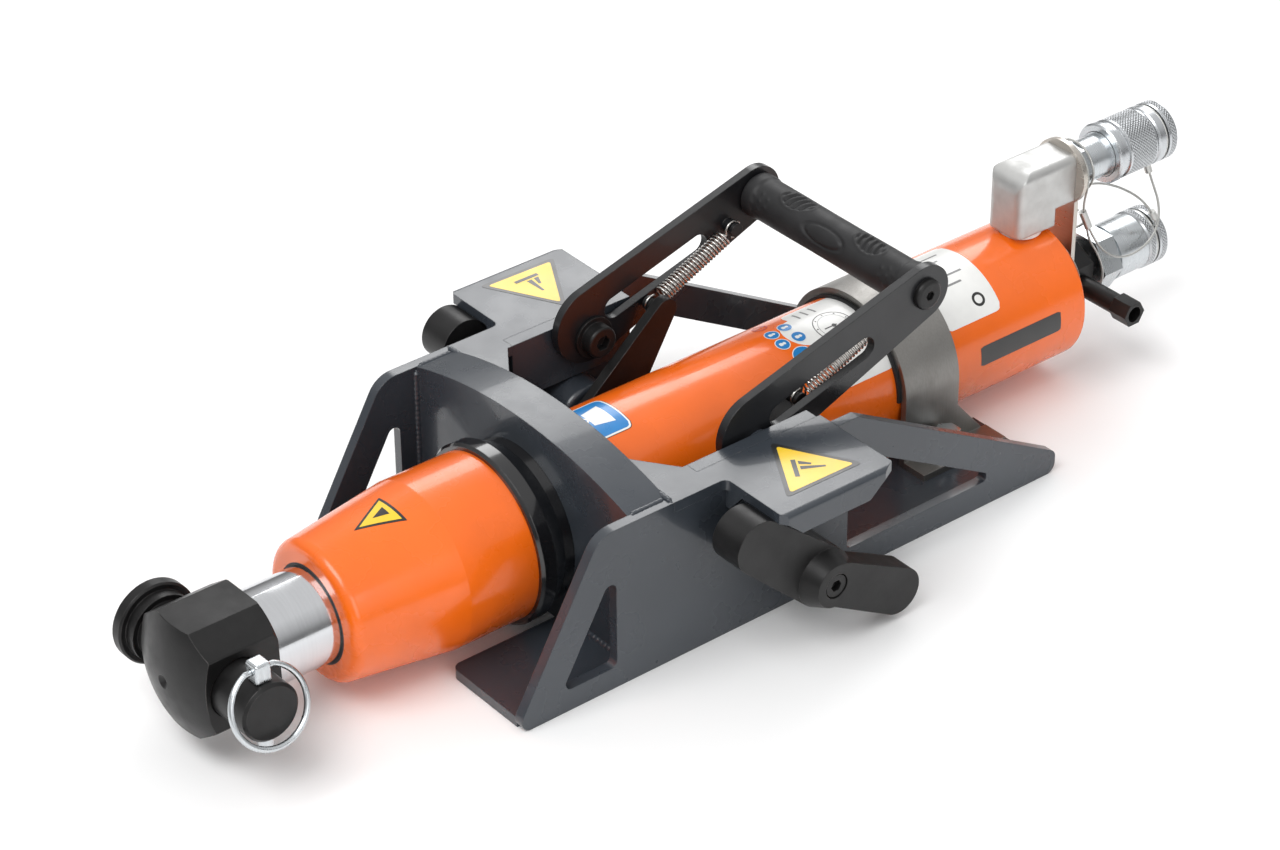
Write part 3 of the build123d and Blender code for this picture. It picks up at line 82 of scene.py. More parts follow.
# ------------------------------------------------------------- places in the frame
tube_low, tube_high = box_mm("cylinder_tube")
RAM_R = (tube_high.x - tube_low.x) / 2
RAM_Z = tube_low.z + RAM_R
BULK_LOW, BULK_HIGH = box_mm("bulkhead")
SIDE_LOW, SIDE_HIGH = box_mm("side_plate_right")
WING_LOW, WING_HIGH = box_mm("wing_right")
DECK_TOP = WING_HIGH.z
GRIP_LOW, GRIP_HIGH = box_mm("grip")
GRIP_Y = (GRIP_LOW.y + GRIP_HIGH.y) / 2
GRIP_Z = (GRIP_LOW.z + GRIP_HIGH.z) / 2
SLEEVE_LOW, SLEEVE_HIGH = box_mm("upper_coupler_sleeve")
COUPLER_Z = (SLEEVE_LOW.z + SLEEVE_HIGH.z) / 2


# ------------------------------------------------------------------------- camera
CAMERA_ANGLES = (51.255, 33.074, -0.377)    # azimuth, elevation and roll, in degrees
CAMERA_BACK, CAMERA_RIGHT, CAMERA_UP = 1988.1, -41.69, 2.47
AIM_BEHIND_BULKHEAD = 124
AIM_HEIGHT = 60


def make_camera():
    """Camera at the viewing angle of the reference view, with a long lens."""
    azimuth, elevation, roll = (math.radians(angle) for angle in CAMERA_ANGLES)
    level = math.cos(elevation)
    back = Vector((math.sin(azimuth) * level, -math.cos(azimuth) * level, math.sin(elevation)))
    right = Vector((math.cos(azimuth), math.sin(azimuth), 0))
    up = back.cross(right)
    middle = (BULK_LOW.y + BULK_HIGH.y) / 2 + AIM_BEHIND_BULKHEAD
    data = bpy.data.cameras.new("camera")
    data.sensor_width = 36
    data.lens = 104.3
    data.shift_x = -0.00375
    data.shift_y = -0.01734
    data.clip_start = 0.05
    data.clip_end = 50
    camera = bpy.data.objects.new("camera", data)
    bpy.context.scene.collection.objects.link(camera)
    aim = Vector((0, middle, AIM_HEIGHT))
    place = back * CAMERA_BACK + right * CAMERA_RIGHT + up * CAMERA_UP + aim
    turned_right = right * math.cos(roll) + up * math.sin(roll)
    turned_up = up * math.cos(roll) - right * math.sin(roll)
    matrix = Matrix((turned_right, turned_up, back)).transposed().to_4x4()
    matrix.translation = place * MM
    camera.matrix_world = matrix
    bpy.context.scene.camera = camera


make_camera()

# -------------------------------------------------------------------------- cords
LANYARD_D = 1.5
LANYARDS = {
    "upper_lanyard": [
        (9.0, 378.6, 91.5), (-8.7, 378.3, 101.0), (-17.3, 378.0, 116.0), (-8.7, 378.0, 131.0),
        (8.7, 378.0, 131.0), (17.3, 378.2, 116.0), (11.8, 378.6, 93.5), (15.0, 382.5, 80.5),
        (19.5, 387.0, 69.0), (21.8, 396.5, 60.0), (22.5, 409.0, 56.2), (22.0, 422.5, 57.8),
        (18.5, 435.5, 63.0), (11.0, 444.0, 72.5), (3.5, 444.0, 85.0), (0.0, 440.6, 98.8),
    ],
    "lower_lanyard": [
        (-5.5, 384.5, 93.5), (8.7, 383.2, 101.0), (17.3, 382.6, 116.0), (8.7, 382.4, 131.0),
        (-8.7, 382.4, 131.0), (-17.3, 382.8, 116.0), (-13.5, 386.0, 99.0), (-9.5, 397.0, 92.5),
        (-6.5, 411.0, 91.5), (0.0, 421.5, 87.3), (7.5, 429.5, 81.3), (15.0, 431.7, 75.5),
        (17.2, 435.5, 67.2), (12.2, 438.9, 60.9),
    ],
    "neck_lanyard": [
        (12.0, 383.6, 80.5), (10.0, 386.5, 71.5), (15.5, 389.8, 63.0), (19.3, 391.5, 53.0),
        (18.5, 392.0, 42.0), (12.0, 392.0, 31.5), (0.0, 392.0, 27.0), (-12.0, 392.0, 31.5),
        (-18.3, 392.0, 43.0), (-16.5, 391.5, 56.0), (-7.5, 389.0, 67.5), (3.5, 386.0, 76.0),
        (9.2, 383.4, 81.8),
    ],
}
STRANDS = 6
STRAND_SHARE = 0.36     # a strand's radius over the rope's
LAY_LENGTH = 5.0        # along the rope, for one turn of a strand
ROPE_STEP = 0.35


def rope_route(name):
    """Curve object with no bevel, through a lanyard's control points."""
    curve = bpy.data.curves.new(name + "_route", "CURVE")
    curve.dimensions = "3D"
    curve.resolution_u = 24
    spline = curve.splines.new("NURBS")
    spline.points.add(len(LANYARDS[name]) - 1)
    for point, place in zip(spline.points, LANYARDS[name]):
        point.co = (*(Vector(place) * MM), 1)
    spline.order_u = 3
    spline.use_endpoint_u = True
    route = bpy.data.objects.new(name + "_route", curve)
    bpy.context.scene.collection.objects.link(route)
    bpy.context.view_layer.update()
    return route


def route_points(route):
    """Points read from a route's spline, in metres, evenly spaced."""
    graph = bpy.context.evaluated_depsgraph_get()
    mesh = bpy.data.meshes.new_from_object(route.evaluated_get(graph))
    points = np.array([vertex.co[:] for vertex in mesh.vertices])
    bpy.data.meshes.remove(mesh)
    return points


def mesh_object(name, vertices, faces, body, smooth=True):
    """New mesh object from points in millimetres, riding on a body."""
    mesh = bpy.data.meshes.new(name)
    mesh.from_pydata([tuple(Vector(v) * MM) for v in vertices], [], faces)
    mesh.validate()
    mesh.update()
    for polygon in mesh.polygons:
        polygon.use_smooth = smooth
    piece = bpy.data.objects.new(name, mesh)
    bpy.context.scene.collection.objects.link(piece)
    if body:
        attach(piece, body)
    return piece


def frames_along(points):
    """Tangent and two normals at each point of a line, with no twist."""
    points = np.asarray(points, float)
    tangents = np.gradient(points, axis=0)
    tangents /= np.linalg.norm(tangents, axis=1)[:, None]
    normal = np.cross(tangents[0], (0.3, 0.5, 0.8))
    normal /= np.linalg.norm(normal)
    normals = []
    for tangent in tangents:
        normal = normal - tangent * np.dot(normal, tangent)
        normal /= np.linalg.norm(normal)
        normals.append(normal)
    normals = np.array(normals)
    return tangents, normals, np.cross(tangents, normals)


def tube_mesh(points, radius, around=8, start=0):
    """Vertices and faces of a round tube along points, with closed ends."""
    points = np.asarray(points, float)
    _, normals, sides = frames_along(points)
    angles = np.arange(around) * 2 * math.pi / around
    radius = np.broadcast_to(radius, len(points))
    rings = points[:, None, :] + radius[:, None, None] * (
        np.cos(angles)[None, :, None] * normals[:, None, :]
        + np.sin(angles)[None, :, None] * sides[:, None, :])
    vertices = [tuple(v) for v in rings.reshape(-1, 3)]
    faces = []
    for ring in range(len(points) - 1):
        for k in range(around):
            a = start + ring * around + k
            b = start + ring * around + (k + 1) % around
            faces.append((a, b, b + around, a + around))
    faces.append(tuple(start + k for k in reversed(range(around))))
    last = start + (len(points) - 1) * around
    faces.append(tuple(last + k for k in range(around)))
    return vertices, faces


def add_tubes(name, paths, radius, body, around=8):
    """One mesh object that holds a tube along each of several paths, in millimetres."""
    vertices, faces = [], []
    for path in paths:
        more_vertices, more_faces = tube_mesh(path, radius, around, len(vertices))
        vertices += more_vertices
        faces += more_faces
    return mesh_object(name, vertices, faces, body)


def resample(points, step):
    """Evenly spaced points on a polyline."""
    points = np.asarray(points, float)
    gaps = np.linalg.norm(np.diff(points, axis=0), axis=1)
    places = np.concatenate(([0], np.cumsum(gaps)))
    count = max(2, int(round(places[-1] / step)) + 1)
    wanted = np.linspace(0, places[-1], count)
    return np.column_stack([np.interp(wanted, places, points[:, k]) for k in range(3)])


def make_lanyard(name):
    """Wire rope of strands laid round the route's own spline."""
    route = rope_route(name)
    centre = resample(route_points(route) / MM, ROPE_STEP)
    bpy.data.objects.remove(route)
    _, normals, sides = frames_along(centre)
    steps = np.linalg.norm(np.diff(centre, axis=0), axis=1)
    run = np.concatenate(([0], np.cumsum(steps)))
    strand_r = LANYARD_D / 2 * STRAND_SHARE
    paths = []
    for strand in range(STRANDS):
        angle = 2 * math.pi * (run / LAY_LENGTH + strand / STRANDS)
        offset = (LANYARD_D / 2 - strand_r) * (np.cos(angle)[:, None] * normals
                                               + np.sin(angle)[:, None] * sides)
        paths.append(centre + offset)
    rope = add_tubes(name + "_rope", paths, strand_r, "cradle", around=5)
    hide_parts(name)


for lanyard in LANYARDS:
    make_lanyard(lanyard)

# ---------------------------------------------------------------------- materials


class Shader:
    """A node material with a Principled shader and small helpers."""

    def __init__(self, name, color, roughness, metallic=0.0, **sockets):
        self.material = bpy.data.materials.new(name)
        self.material.use_nodes = True
        self.tree = self.material.node_tree
        self.bsdf = self.tree.nodes["Principled BSDF"]
        self.bsdf.inputs["Base Color"].default_value = (*color, 1)
        self.bsdf.inputs["Roughness"].default_value = roughness
        self.bsdf.inputs["Metallic"].default_value = metallic
        for socket, value in sockets.items():
            self.bsdf.inputs[socket.replace("_", " ")].default_value = value
        self.coords = self.tree.nodes.new("ShaderNodeTexCoord").outputs["Object"]
        self.height = None

    def node(self, kind, inputs=(), **settings):
        node = self.tree.nodes.new(kind)
        for key, value in settings.items():
            setattr(node, key, value)
        for key, value in dict(inputs).items():
            if isinstance(value, bpy.types.NodeSocket):
                self.tree.links.new(value, node.inputs[key])
            else:
                node.inputs[key].default_value = value
        return node

    def stretched(self, scale):
        inputs = {"Vector": self.coords, "Scale": scale}
        return self.node("ShaderNodeMapping", inputs).outputs["Vector"]

    def noise(self, scale, detail=3.0, rough=0.55, vector=None):
        inputs = {"Vector": vector or self.coords, "Scale": scale,
                  "Detail": detail, "Roughness": rough}
        return self.node("ShaderNodeTexNoise", inputs).outputs["Fac"]

    def ramp(self, value, low, high, out_low=0.0, out_high=1.0):
        inputs = {"Value": value, "From Min": low, "From Max": high,
                  "To Min": out_low, "To Max": out_high}
        return self.node("ShaderNodeMapRange", inputs).outputs["Result"]

    def math(self, operation, a, b=0.0):
        node = self.tree.nodes.new("ShaderNodeMath")
        node.operation = operation
        for socket, value in zip(node.inputs, (a, b)):
            if isinstance(value, bpy.types.NodeSocket):
                self.tree.links.new(value, socket)
            else:
                socket.default_value = value
        return node.outputs["Value"]

    def mix(self, factor, a, b):
        node = self.tree.nodes.new("ShaderNodeMix")
        node.data_type = "RGBA"
        for socket, value in ((node.inputs[0], factor), (node.inputs[6], a), (node.inputs[7], b)):
            if isinstance(value, bpy.types.NodeSocket):
                self.tree.links.new(value, socket)
            else:
                socket.default_value = value if isinstance(value, float) else (*value, 1)
        return node.outputs[2]

    def color(self, value):
        self.tree.links.new(value, self.bsdf.inputs["Base Color"])

    def rough(self, value):
        self.tree.links.new(value, self.bsdf.inputs["Roughness"])

    def metal(self, value):
        self.tree.links.new(value, self.bsdf.inputs["Metallic"])

    def bump(self, value, distance, strength=1.0, edge_mm=0.0):
        inputs = {"Height": value, "Distance": distance * MM, "Strength": strength}
        if edge_mm:
            bevel = self.node("ShaderNodeBevel", {"Radius": edge_mm * MM}, samples=4)
            inputs["Normal"] = bevel.outputs["Normal"]
        bumped = self.node("ShaderNodeBump", inputs).outputs["Normal"]
        self.tree.links.new(bumped, self.bsdf.inputs["Normal"])

    def edges(self, width_mm):
        """0 on flat ground, 1 on sharp edges."""
        bevel = self.node("ShaderNodeBevel", {"Radius": width_mm * MM}, samples=6).outputs["Normal"]
        normal = self.node("ShaderNodeNewGeometry").outputs["Normal"]
        dot = self.node("ShaderNodeVectorMath", operation="DOT_PRODUCT")
        self.tree.links.new(bevel, dot.inputs[0])
        self.tree.links.new(normal, dot.inputs[1])
        return self.ramp(dot.outputs["Value"], 0.985, 0.90)


def painted(name, color, roughness, chip_color, wear=0.5, peel=0.12, edge_mm=0.7, coat=0.6):
    """Glossy industrial paint: orange peel, faint dust and chips along the edges."""
    s = Shader(name, color, roughness, Coat_Weight=coat, Coat_Roughness=0.06,
               Specular_IOR_Level=0.5)
    mottled = s.mix(s.ramp(s.noise(14, 4), 0.35, 0.7), tuple(c * 0.9 for c in color),
                    tuple(min(1, c * 1.08) for c in color))
    chips = s.math("MULTIPLY", s.edges(0.55), s.ramp(s.noise(170, 5, 0.7), 0.56, 0.64))
    chips = s.math("MULTIPLY", chips, wear)
    scratches = s.ramp(s.noise(55, 2, 0.5, s.stretched((1.0, 14.0, 5.0))),
                       0.735, 0.76, 0.0, 0.10 * wear)
    s.color(s.mix(s.math("MAXIMUM", chips, scratches), mottled, chip_color))
    s.rough(s.math("ADD", s.ramp(s.noise(36, 3), 0.3, 0.8, roughness * 0.8, roughness * 1.5),
                   s.math("MULTIPLY", chips, 0.25)))
    s.bump(s.noise(420, 2), peel, 0.35, edge_mm)
    return s.material


def bare_metal(name, color, roughness, grain=(1.0, 60.0, 60.0), scale=30, bump_mm=0.04, edge_mm=0.5,
               spots=0.15, dark=0.6):
    """Plated or brushed metal with grain, dull patches and handling marks."""
    s = Shader(name, color, roughness, 1.0)
    streak = s.noise(scale, 4, 0.6, s.stretched(grain))
    patch = s.ramp(s.noise(22, 5, 0.65), 0.4, 0.72, 0.0, spots)
    tint = s.mix(patch, color, tuple(c * dark for c in color))
    s.color(s.mix(s.ramp(streak, 0.3, 0.7, 0.0, 0.35), tint, tuple(c * 0.82 for c in color)))
    s.rough(s.math("ADD", s.ramp(streak, 0.25, 0.75, roughness * 0.75, roughness * 1.35),
                   s.ramp(s.noise(60, 4), 0.45, 0.7, 0.0, 0.1)))
    s.bump(streak, bump_mm, 0.5, edge_mm)
    return s.material


def black_oxide(name, color, roughness, edge_mm=0.7, grain_mm=0.06, wear=0.5):
    """Oiled black oxide on a forging, with bright rub marks on its edges."""
    s = Shader(name, color, roughness, 0.35, Specular_IOR_Level=0.5)
    rub = s.math("MULTIPLY", s.edges(0.8), s.ramp(s.noise(90, 4, 0.65), 0.46, 0.66))
    base = s.mix(s.ramp(s.noise(30, 5, 0.6), 0.35, 0.7), tuple(c * 0.7 for c in color),
                 tuple(c * 1.5 for c in color))
    s.color(s.mix(s.math("MULTIPLY", rub, wear), base, (0.16, 0.15, 0.145)))
    s.rough(s.ramp(s.noise(70, 4), 0.3, 0.75, roughness * 0.85, roughness * 1.3))
    s.bump(s.noise(260, 4, 0.6), grain_mm, 0.6, edge_mm)
    return s.material


def rubber(name, color, roughness, grain_mm=0.05):
    s = Shader(name, color, roughness, 0.0, Specular_IOR_Level=0.35)
    s.color(s.mix(s.ramp(s.noise(40, 4), 0.35, 0.7), tuple(c * 0.8 for c in color),
                  tuple(c * 1.35 for c in color)))
    s.rough(s.ramp(s.noise(120, 3), 0.3, 0.7, roughness * 0.9, roughness * 1.1))
    s.bump(s.noise(600, 3, 0.6), grain_mm, 0.6)
    return s.material


def plain(name, color, roughness, coat=0.3, speckle=0.06):
    """Printed vinyl or plastic with a faint mottle."""
    s = Shader(name, color, roughness, 0.0, Coat_Weight=coat, Coat_Roughness=0.12)
    s.color(s.mix(s.ramp(s.noise(90, 3), 0.3, 0.7, 0.0, 1.0),
                  tuple(c * (1 - speckle) for c in color), color))
    s.rough(s.ramp(s.noise(60, 2), 0.3, 0.7, roughness * 0.85, roughness * 1.15))
    return s.material


KNURL_R = 17.5
KNURL_FADE = 0.2        # length over which a knurled band starts and ends


def knurled(name, color, roughness, axis_z, bands, pitch=2.1):
    """Zinc plate with a diamond knurl on bands of a cylinder whose axis is along Y."""
    s = Shader(name, color, roughness, 1.0)
    split = s.node("ShaderNodeSeparateXYZ", {"Vector": s.coords})
    up = s.math("SUBTRACT", split.outputs["Z"], axis_z * MM)
    around = s.math("MULTIPLY", s.math("ARCTAN2", split.outputs["X"], up), KNURL_R)
    along = s.math("MULTIPLY", split.outputs["Y"], 1000.0)
    rate = math.pi / pitch
    one, two = (
        s.math("ABSOLUTE", s.math("SINE", s.math("MULTIPLY", s.math(way, around, along), rate)))
        for way in ("ADD", "SUBTRACT"))
    diamond = s.math("MULTIPLY", one, two)
    mask = 0.0
    for start, end in bands:
        inside = s.math("MULTIPLY", s.ramp(along, start, start + KNURL_FADE),
                        s.ramp(along, end - KNURL_FADE, end, 1.0, 0.0))
        mask = s.math("MAXIMUM", inside, mask)
    height = s.math("MULTIPLY", diamond, mask)
    # painted shade: the knurl's grooves are darkened in the colour to stand in for the shadow
    # inside them
    painted_groove_shade = s.math("MULTIPLY", s.math("SUBTRACT", 1.0, s.ramp(diamond, 0.05, 0.5)), mask)
    patch = s.ramp(s.noise(30, 4), 0.35, 0.75, 0.0, 0.25)
    base = s.mix(patch, color, tuple(c * 0.7 for c in color))
    s.color(s.mix(s.math("MULTIPLY", painted_groove_shade, 0.8), base, tuple(c * 0.25 for c in color)))
    s.rough(s.ramp(s.noise(80, 3), 0.3, 0.75, roughness * 0.8, roughness * 1.4))
    s.bump(height, 0.35, 0.9, 0.3)
    return s.material


MATERIALS = {
    "cradle_paint": painted(
        "cradle_paint", (0.036, 0.043, 0.053), 0.26, chip_color=(0.16, 0.15, 0.14), wear=0.75,
        peel=0.10, edge_mm=0.8, coat=0.35),
    "orange_paint": painted(
        "orange_paint", (0.86, 0.140, 0.005), 0.24, chip_color=(0.30, 0.09, 0.03), wear=0.35,
        peel=0.05, edge_mm=0.7, coat=0.35),
    "gloss_black": painted(
        "gloss_black", (0.007, 0.007, 0.008), 0.12, chip_color=(0.10, 0.10, 0.10), wear=0.25,
        peel=0.04, edge_mm=0.8),
    "black_paint": painted(
        "black_paint", (0.0085, 0.009, 0.0105), 0.32, chip_color=(0.14, 0.12, 0.11), wear=0.8,
        peel=0.07, edge_mm=0.7, coat=0.15),
    "black_steel": black_oxide("black_steel", (0.011, 0.0106, 0.0108), 0.38),
    "bare_steel": bare_metal(
        "bare_steel", (0.32, 0.31, 0.295), 0.40, grain=(60.0, 60.0, 2.0), scale=22, bump_mm=0.05,
        edge_mm=0.5, spots=0.5, dark=0.55),
    "stainless": bare_metal(
        "stainless", (0.60, 0.56, 0.51), 0.26, grain=(4.0, 40.0, 40.0), scale=20, bump_mm=0.02,
        edge_mm=0.4),
    "zinc": bare_metal(
        "zinc", (0.62, 0.65, 0.67), 0.24, grain=(2.0, 60.0, 2.0), scale=14, bump_mm=0.004,
        edge_mm=0.4, spots=0.10, dark=0.75),
    "cast_fitting": bare_metal(
        "cast_fitting", (0.60, 0.60, 0.59), 0.48, grain=(1.0, 1.0, 1.0), scale=90, bump_mm=0.16,
        edge_mm=1.6, spots=0.2, dark=0.8),
    "spring_steel": bare_metal(
        "spring_steel", (0.66, 0.64, 0.61), 0.25, grain=(8.0, 8.0, 8.0), scale=60, bump_mm=0.01,
        edge_mm=0.0, spots=0.3, dark=0.5),
    "wire_rope": bare_metal(
        "wire_rope", (0.60, 0.60, 0.58), 0.32, grain=(8.0, 8.0, 8.0), scale=90, bump_mm=0.01,
        edge_mm=0.0, spots=0.3, dark=0.5),
    "hard_chrome": bare_metal(
        "hard_chrome", (0.70, 0.71, 0.73), 0.09, grain=(2.0, 30.0, 2.0), scale=20, bump_mm=0.004,
        edge_mm=0.3, spots=0.04, dark=0.9),
    "black_rubber": rubber("black_rubber", (0.017, 0.017, 0.018), 0.52),
    "nylon": plain("nylon", (0.84, 0.84, 0.81), 0.4),
    "label_yellow": plain("label_yellow", (0.86, 0.56, 0.02), 0.35, coat=0.4, speckle=0.1),
    "label_black": plain("label_black", (0.012, 0.012, 0.012), 0.35, coat=0.4, speckle=0.3),
    "label_white": plain("label_white", (0.80, 0.80, 0.78), 0.35, coat=0.4, speckle=0.07),
    "label_grey": plain("label_grey", (0.22, 0.22, 0.22), 0.4, coat=0.4, speckle=0.2),
    "label_red": plain("label_red", (0.55, 0.03, 0.01), 0.35, coat=0.4, speckle=0.1),
    "label_blue": plain("label_blue", (0.006, 0.20, 0.53), 0.32, coat=0.4, speckle=0.1),
    "upper_knurl": knurled(
        "upper_knurl", (0.62, 0.64, 0.66), 0.26, axis_z=COUPLER_Z,
        bands=((SLEEVE_LOW.y + 10, SLEEVE_HIGH.y - 2), (SLEEVE_HIGH.y + 10, SLEEVE_HIGH.y + 14))),
    "lower_knurl": knurled(
        "lower_knurl", (0.62, 0.64, 0.66), 0.26, axis_z=RAM_Z,
        bands=((SLEEVE_HIGH.y - 1 + 1.5, SLEEVE_HIGH.y + 4),
               (SLEEVE_HIGH.y + 9, SLEEVE_HIGH.y + 13))),
}


def paint_nodes():
    """Gives every CAD node the material of its slot in the record."""
    for entry in frame["record"]["subparts"]:
        piece = nodes[entry["node"]]
        piece.data.materials.clear()
        piece.data.materials.append(MATERIALS[entry["material_slot"]])


paint_nodes()
for node, material in (("upper_coupler_sleeve", "upper_knurl"), ("upper_dust_cap", "upper_knurl"),
                       ("lower_dust_cap", "lower_knurl")):
    nodes[node].data.materials[0] = MATERIALS[material]
for piece in bpy.data.objects:
    if piece.name.endswith("_rope"):
        piece.data.materials.append(MATERIALS["wire_rope"])


# ------------------------------------------------------------------------ springs
SPRING_X = 60.3
SPRING_LOW = (124.0, 96.0)      # y and z of the lower post
SPRING_HIGH = (182.0, 122.0)
SPRING_WIRE_R = 0.62
COIL_R = 4.35
COIL_MARGIN = 8.2
COIL_TURNS = 23
HOOK_R = 4.9
HOOK_INSET = 0.8        # from a post's centre to the middle of its loop
HOOK_SWEEP = 310        # degrees of wire in each loop
HOOK_STEPS = 25
LEAD_IN = 1.4           # how far the coil reaches into each margin
TAPER_TURNS = 0.6       # turns in which the coil grows to its full radius
STEPS_PER_TURN = 16


def make_spring(name, sx):
    """Tension spring of round wire, with a hook loop round each post."""
    run = math.dist(SPRING_LOW, SPRING_HIGH)
    d = Vector((0, (SPRING_HIGH[0] - SPRING_LOW[0]) / run, (SPRING_HIGH[1] - SPRING_LOW[1]) / run))
    n = Vector((0, -d.z, d.y))
    start = Vector((sx * SPRING_X, *SPRING_LOW))
    across = Vector((1, 0, 0))
    points = []
    for k in range(HOOK_STEPS + 1):
        a = math.radians(-HOOK_SWEEP + HOOK_SWEEP * k / HOOK_STEPS)
        points.append(start + d * (HOOK_INSET + HOOK_R * math.cos(a)) + n * HOOK_R * math.sin(a))
    steps = COIL_TURNS * STEPS_PER_TURN
    for k in range(steps + 1):
        t = k / steps
        grow = min(1, t * COIL_TURNS / TAPER_TURNS, (1 - t) * COIL_TURNS / TAPER_TURNS)
        grow = math.sin(grow * math.pi / 2)
        a = 2 * math.pi * COIL_TURNS * t
        along = COIL_MARGIN - LEAD_IN + (run - 2 * COIL_MARGIN + 2 * LEAD_IN) * t
        points.append(start + d * along + (n * math.cos(a) + across * math.sin(a)) * COIL_R * grow)
    for k in range(HOOK_STEPS + 1):
        a = math.radians(180 - HOOK_SWEEP * k / HOOK_STEPS)
        points.append(start + d * (run - HOOK_INSET + HOOK_R * math.cos(a))
                      + n * HOOK_R * math.sin(a))
    vertices, faces = tube_mesh([tuple(q) for q in points], SPRING_WIRE_R, 8)
    spring = mesh_object(f"coil_spring_{name}", vertices, faces, None)
    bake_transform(spring)
    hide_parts(f"spring_{name}", f"spring_hook_{name}")
    spring.data.materials.append(MATERIALS["spring_steel"])


# --------------------------------------------------------------------- rubber grip
GRIP_STEP = 0.7         # depth of the grip's long middle below its ends
PANEL_X = 31            # middle of a ribbed panel, from the middle of the grip
PANEL_DROP = 8.5        # and round the grip, from its upper front line
PANEL_LENGTH, PANEL_WIDTH = 11, 7.0
PANEL_LEAN = 0.25
RIB_PITCH = 4.4
END_ROUND = 1.4


def smooth_step(value):
    """0 below 0, 1 above 1 and a smooth rise between them."""
    value = min(1, max(0, value))
    return value * value * (3 - 2 * value)


def grip_radius(x, turn):
    """Radius of the moulded grip at x and at an angle from the upper front line."""
    half = GRIP_HIGH.x
    base_r = (GRIP_HIGH.z - GRIP_LOW.z) / 2 - GRIP_STEP
    end = half - abs(x)
    r = base_r - GRIP_STEP * smooth_step((end - 7) / 3)
    r = r + GRIP_STEP * smooth_step((abs(x) - 8) / 30) * 0.3
    r -= smooth_step((END_ROUND - end) / END_ROUND)
    turn = (turn + math.pi / 2) % math.pi - math.pi / 2
    side = turn * base_r
    from_panel = abs(x) - PANEL_X - PANEL_LEAN * side
    zone = math.sqrt((from_panel / PANEL_LENGTH) ** 2 + ((side + PANEL_DROP) / PANEL_WIDTH) ** 2)
    inside = smooth_step((1.0 - zone) / 0.12)
    rib = 0.5 + 0.5 * math.cos(2 * math.pi * from_panel / RIB_PITCH)
    r -= inside * (1.5 - 1.35 * smooth_step(rib * 1.8 - 0.5))
    rim = math.exp(-((zone - 1.1) / 0.055) ** 2)
    r += 0.35 * rim
    oval = math.sqrt((x / 15.0) ** 2 + ((side - 3.0) / 5.6) ** 2)
    r -= 0.8 * math.exp(-((oval - 1) / 0.13) ** 2)
    for place, height in ((46, 1), (46, 6), (51, -1), (51, 4), (51, 9), (56, 2), (56, 7)):
        gap = math.hypot(abs(x) - place, side - height)
        r += 0.4 * math.exp(-gap ** 2)
    return r


def make_grip():
    """Rubber grip with ribbed panels, an oval mark and small nubs, bored for its rod."""
    half = GRIP_HIGH.x
    bore_r = 6.0
    xs = [-half, -half + 0.3, -half + 0.8] + list(np.arange(-half + 1.2, half - 1.1, 0.55)) + [
        half - 0.8, half - 0.3, half]
    around = 112
    vertices, faces = [], []
    rings = [(xs[0], bore_r)] + [(x, None) for x in xs] + [(xs[-1], bore_r)]
    for x, fixed in rings:
        for k in range(around):
            turn = 2 * math.pi * k / around
            r = fixed if fixed else grip_radius(x, turn - math.pi)
            direction = turn + math.radians(135) - math.pi
            vertices.append((x, GRIP_Y + r * math.cos(direction), GRIP_Z + r * math.sin(direction)))
    for i in range(len(rings) - 1):
        for k in range(around):
            a, b = i * around + k, i * around + (k + 1) % around
            faces.append((a, b, b + around, a + around))
    grip = mesh_object("moulded_grip", vertices, faces, "handle")
    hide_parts("grip")
    grip.data.materials.append(MATERIALS["black_rubber"])


# --------------------------------------------------------------------- weld beads
WELD_STEP = 0.55
RIPPLE_PITCH = 3.1


def weld(name, paths, bead_r=2.0):
    """Rippled weld beads in the cradle's paint, along paths in millimetres."""
    vertices, faces = [], []
    for path in paths:
        points = resample(path, WELD_STEP)
        run = np.arange(len(points)) * WELD_STEP
        ends = np.clip(np.minimum(run, run[-1] - run) / 2.0, 0.35, 1)
        ripple = 0.13 * np.abs(np.sin(run * math.pi / RIPPLE_PITCH))
        radius = bead_r * ends * (1 + ripple + 0.05 * np.sin(run * 0.37))
        more_vertices, more_faces = tube_mesh(points, radius, 10, len(vertices))
        vertices += more_vertices
        faces += more_faces
    bead = mesh_object(name, vertices, faces, "cradle")
    bead.data.materials.append(MATERIALS["cradle_paint"])


def circle_path(x, y, z, r):
    """Closed ring of points in a plane across X."""
    return [(x, y + r * math.cos(a), z + r * math.sin(a)) for a in np.linspace(0, 2 * math.pi, 60)]


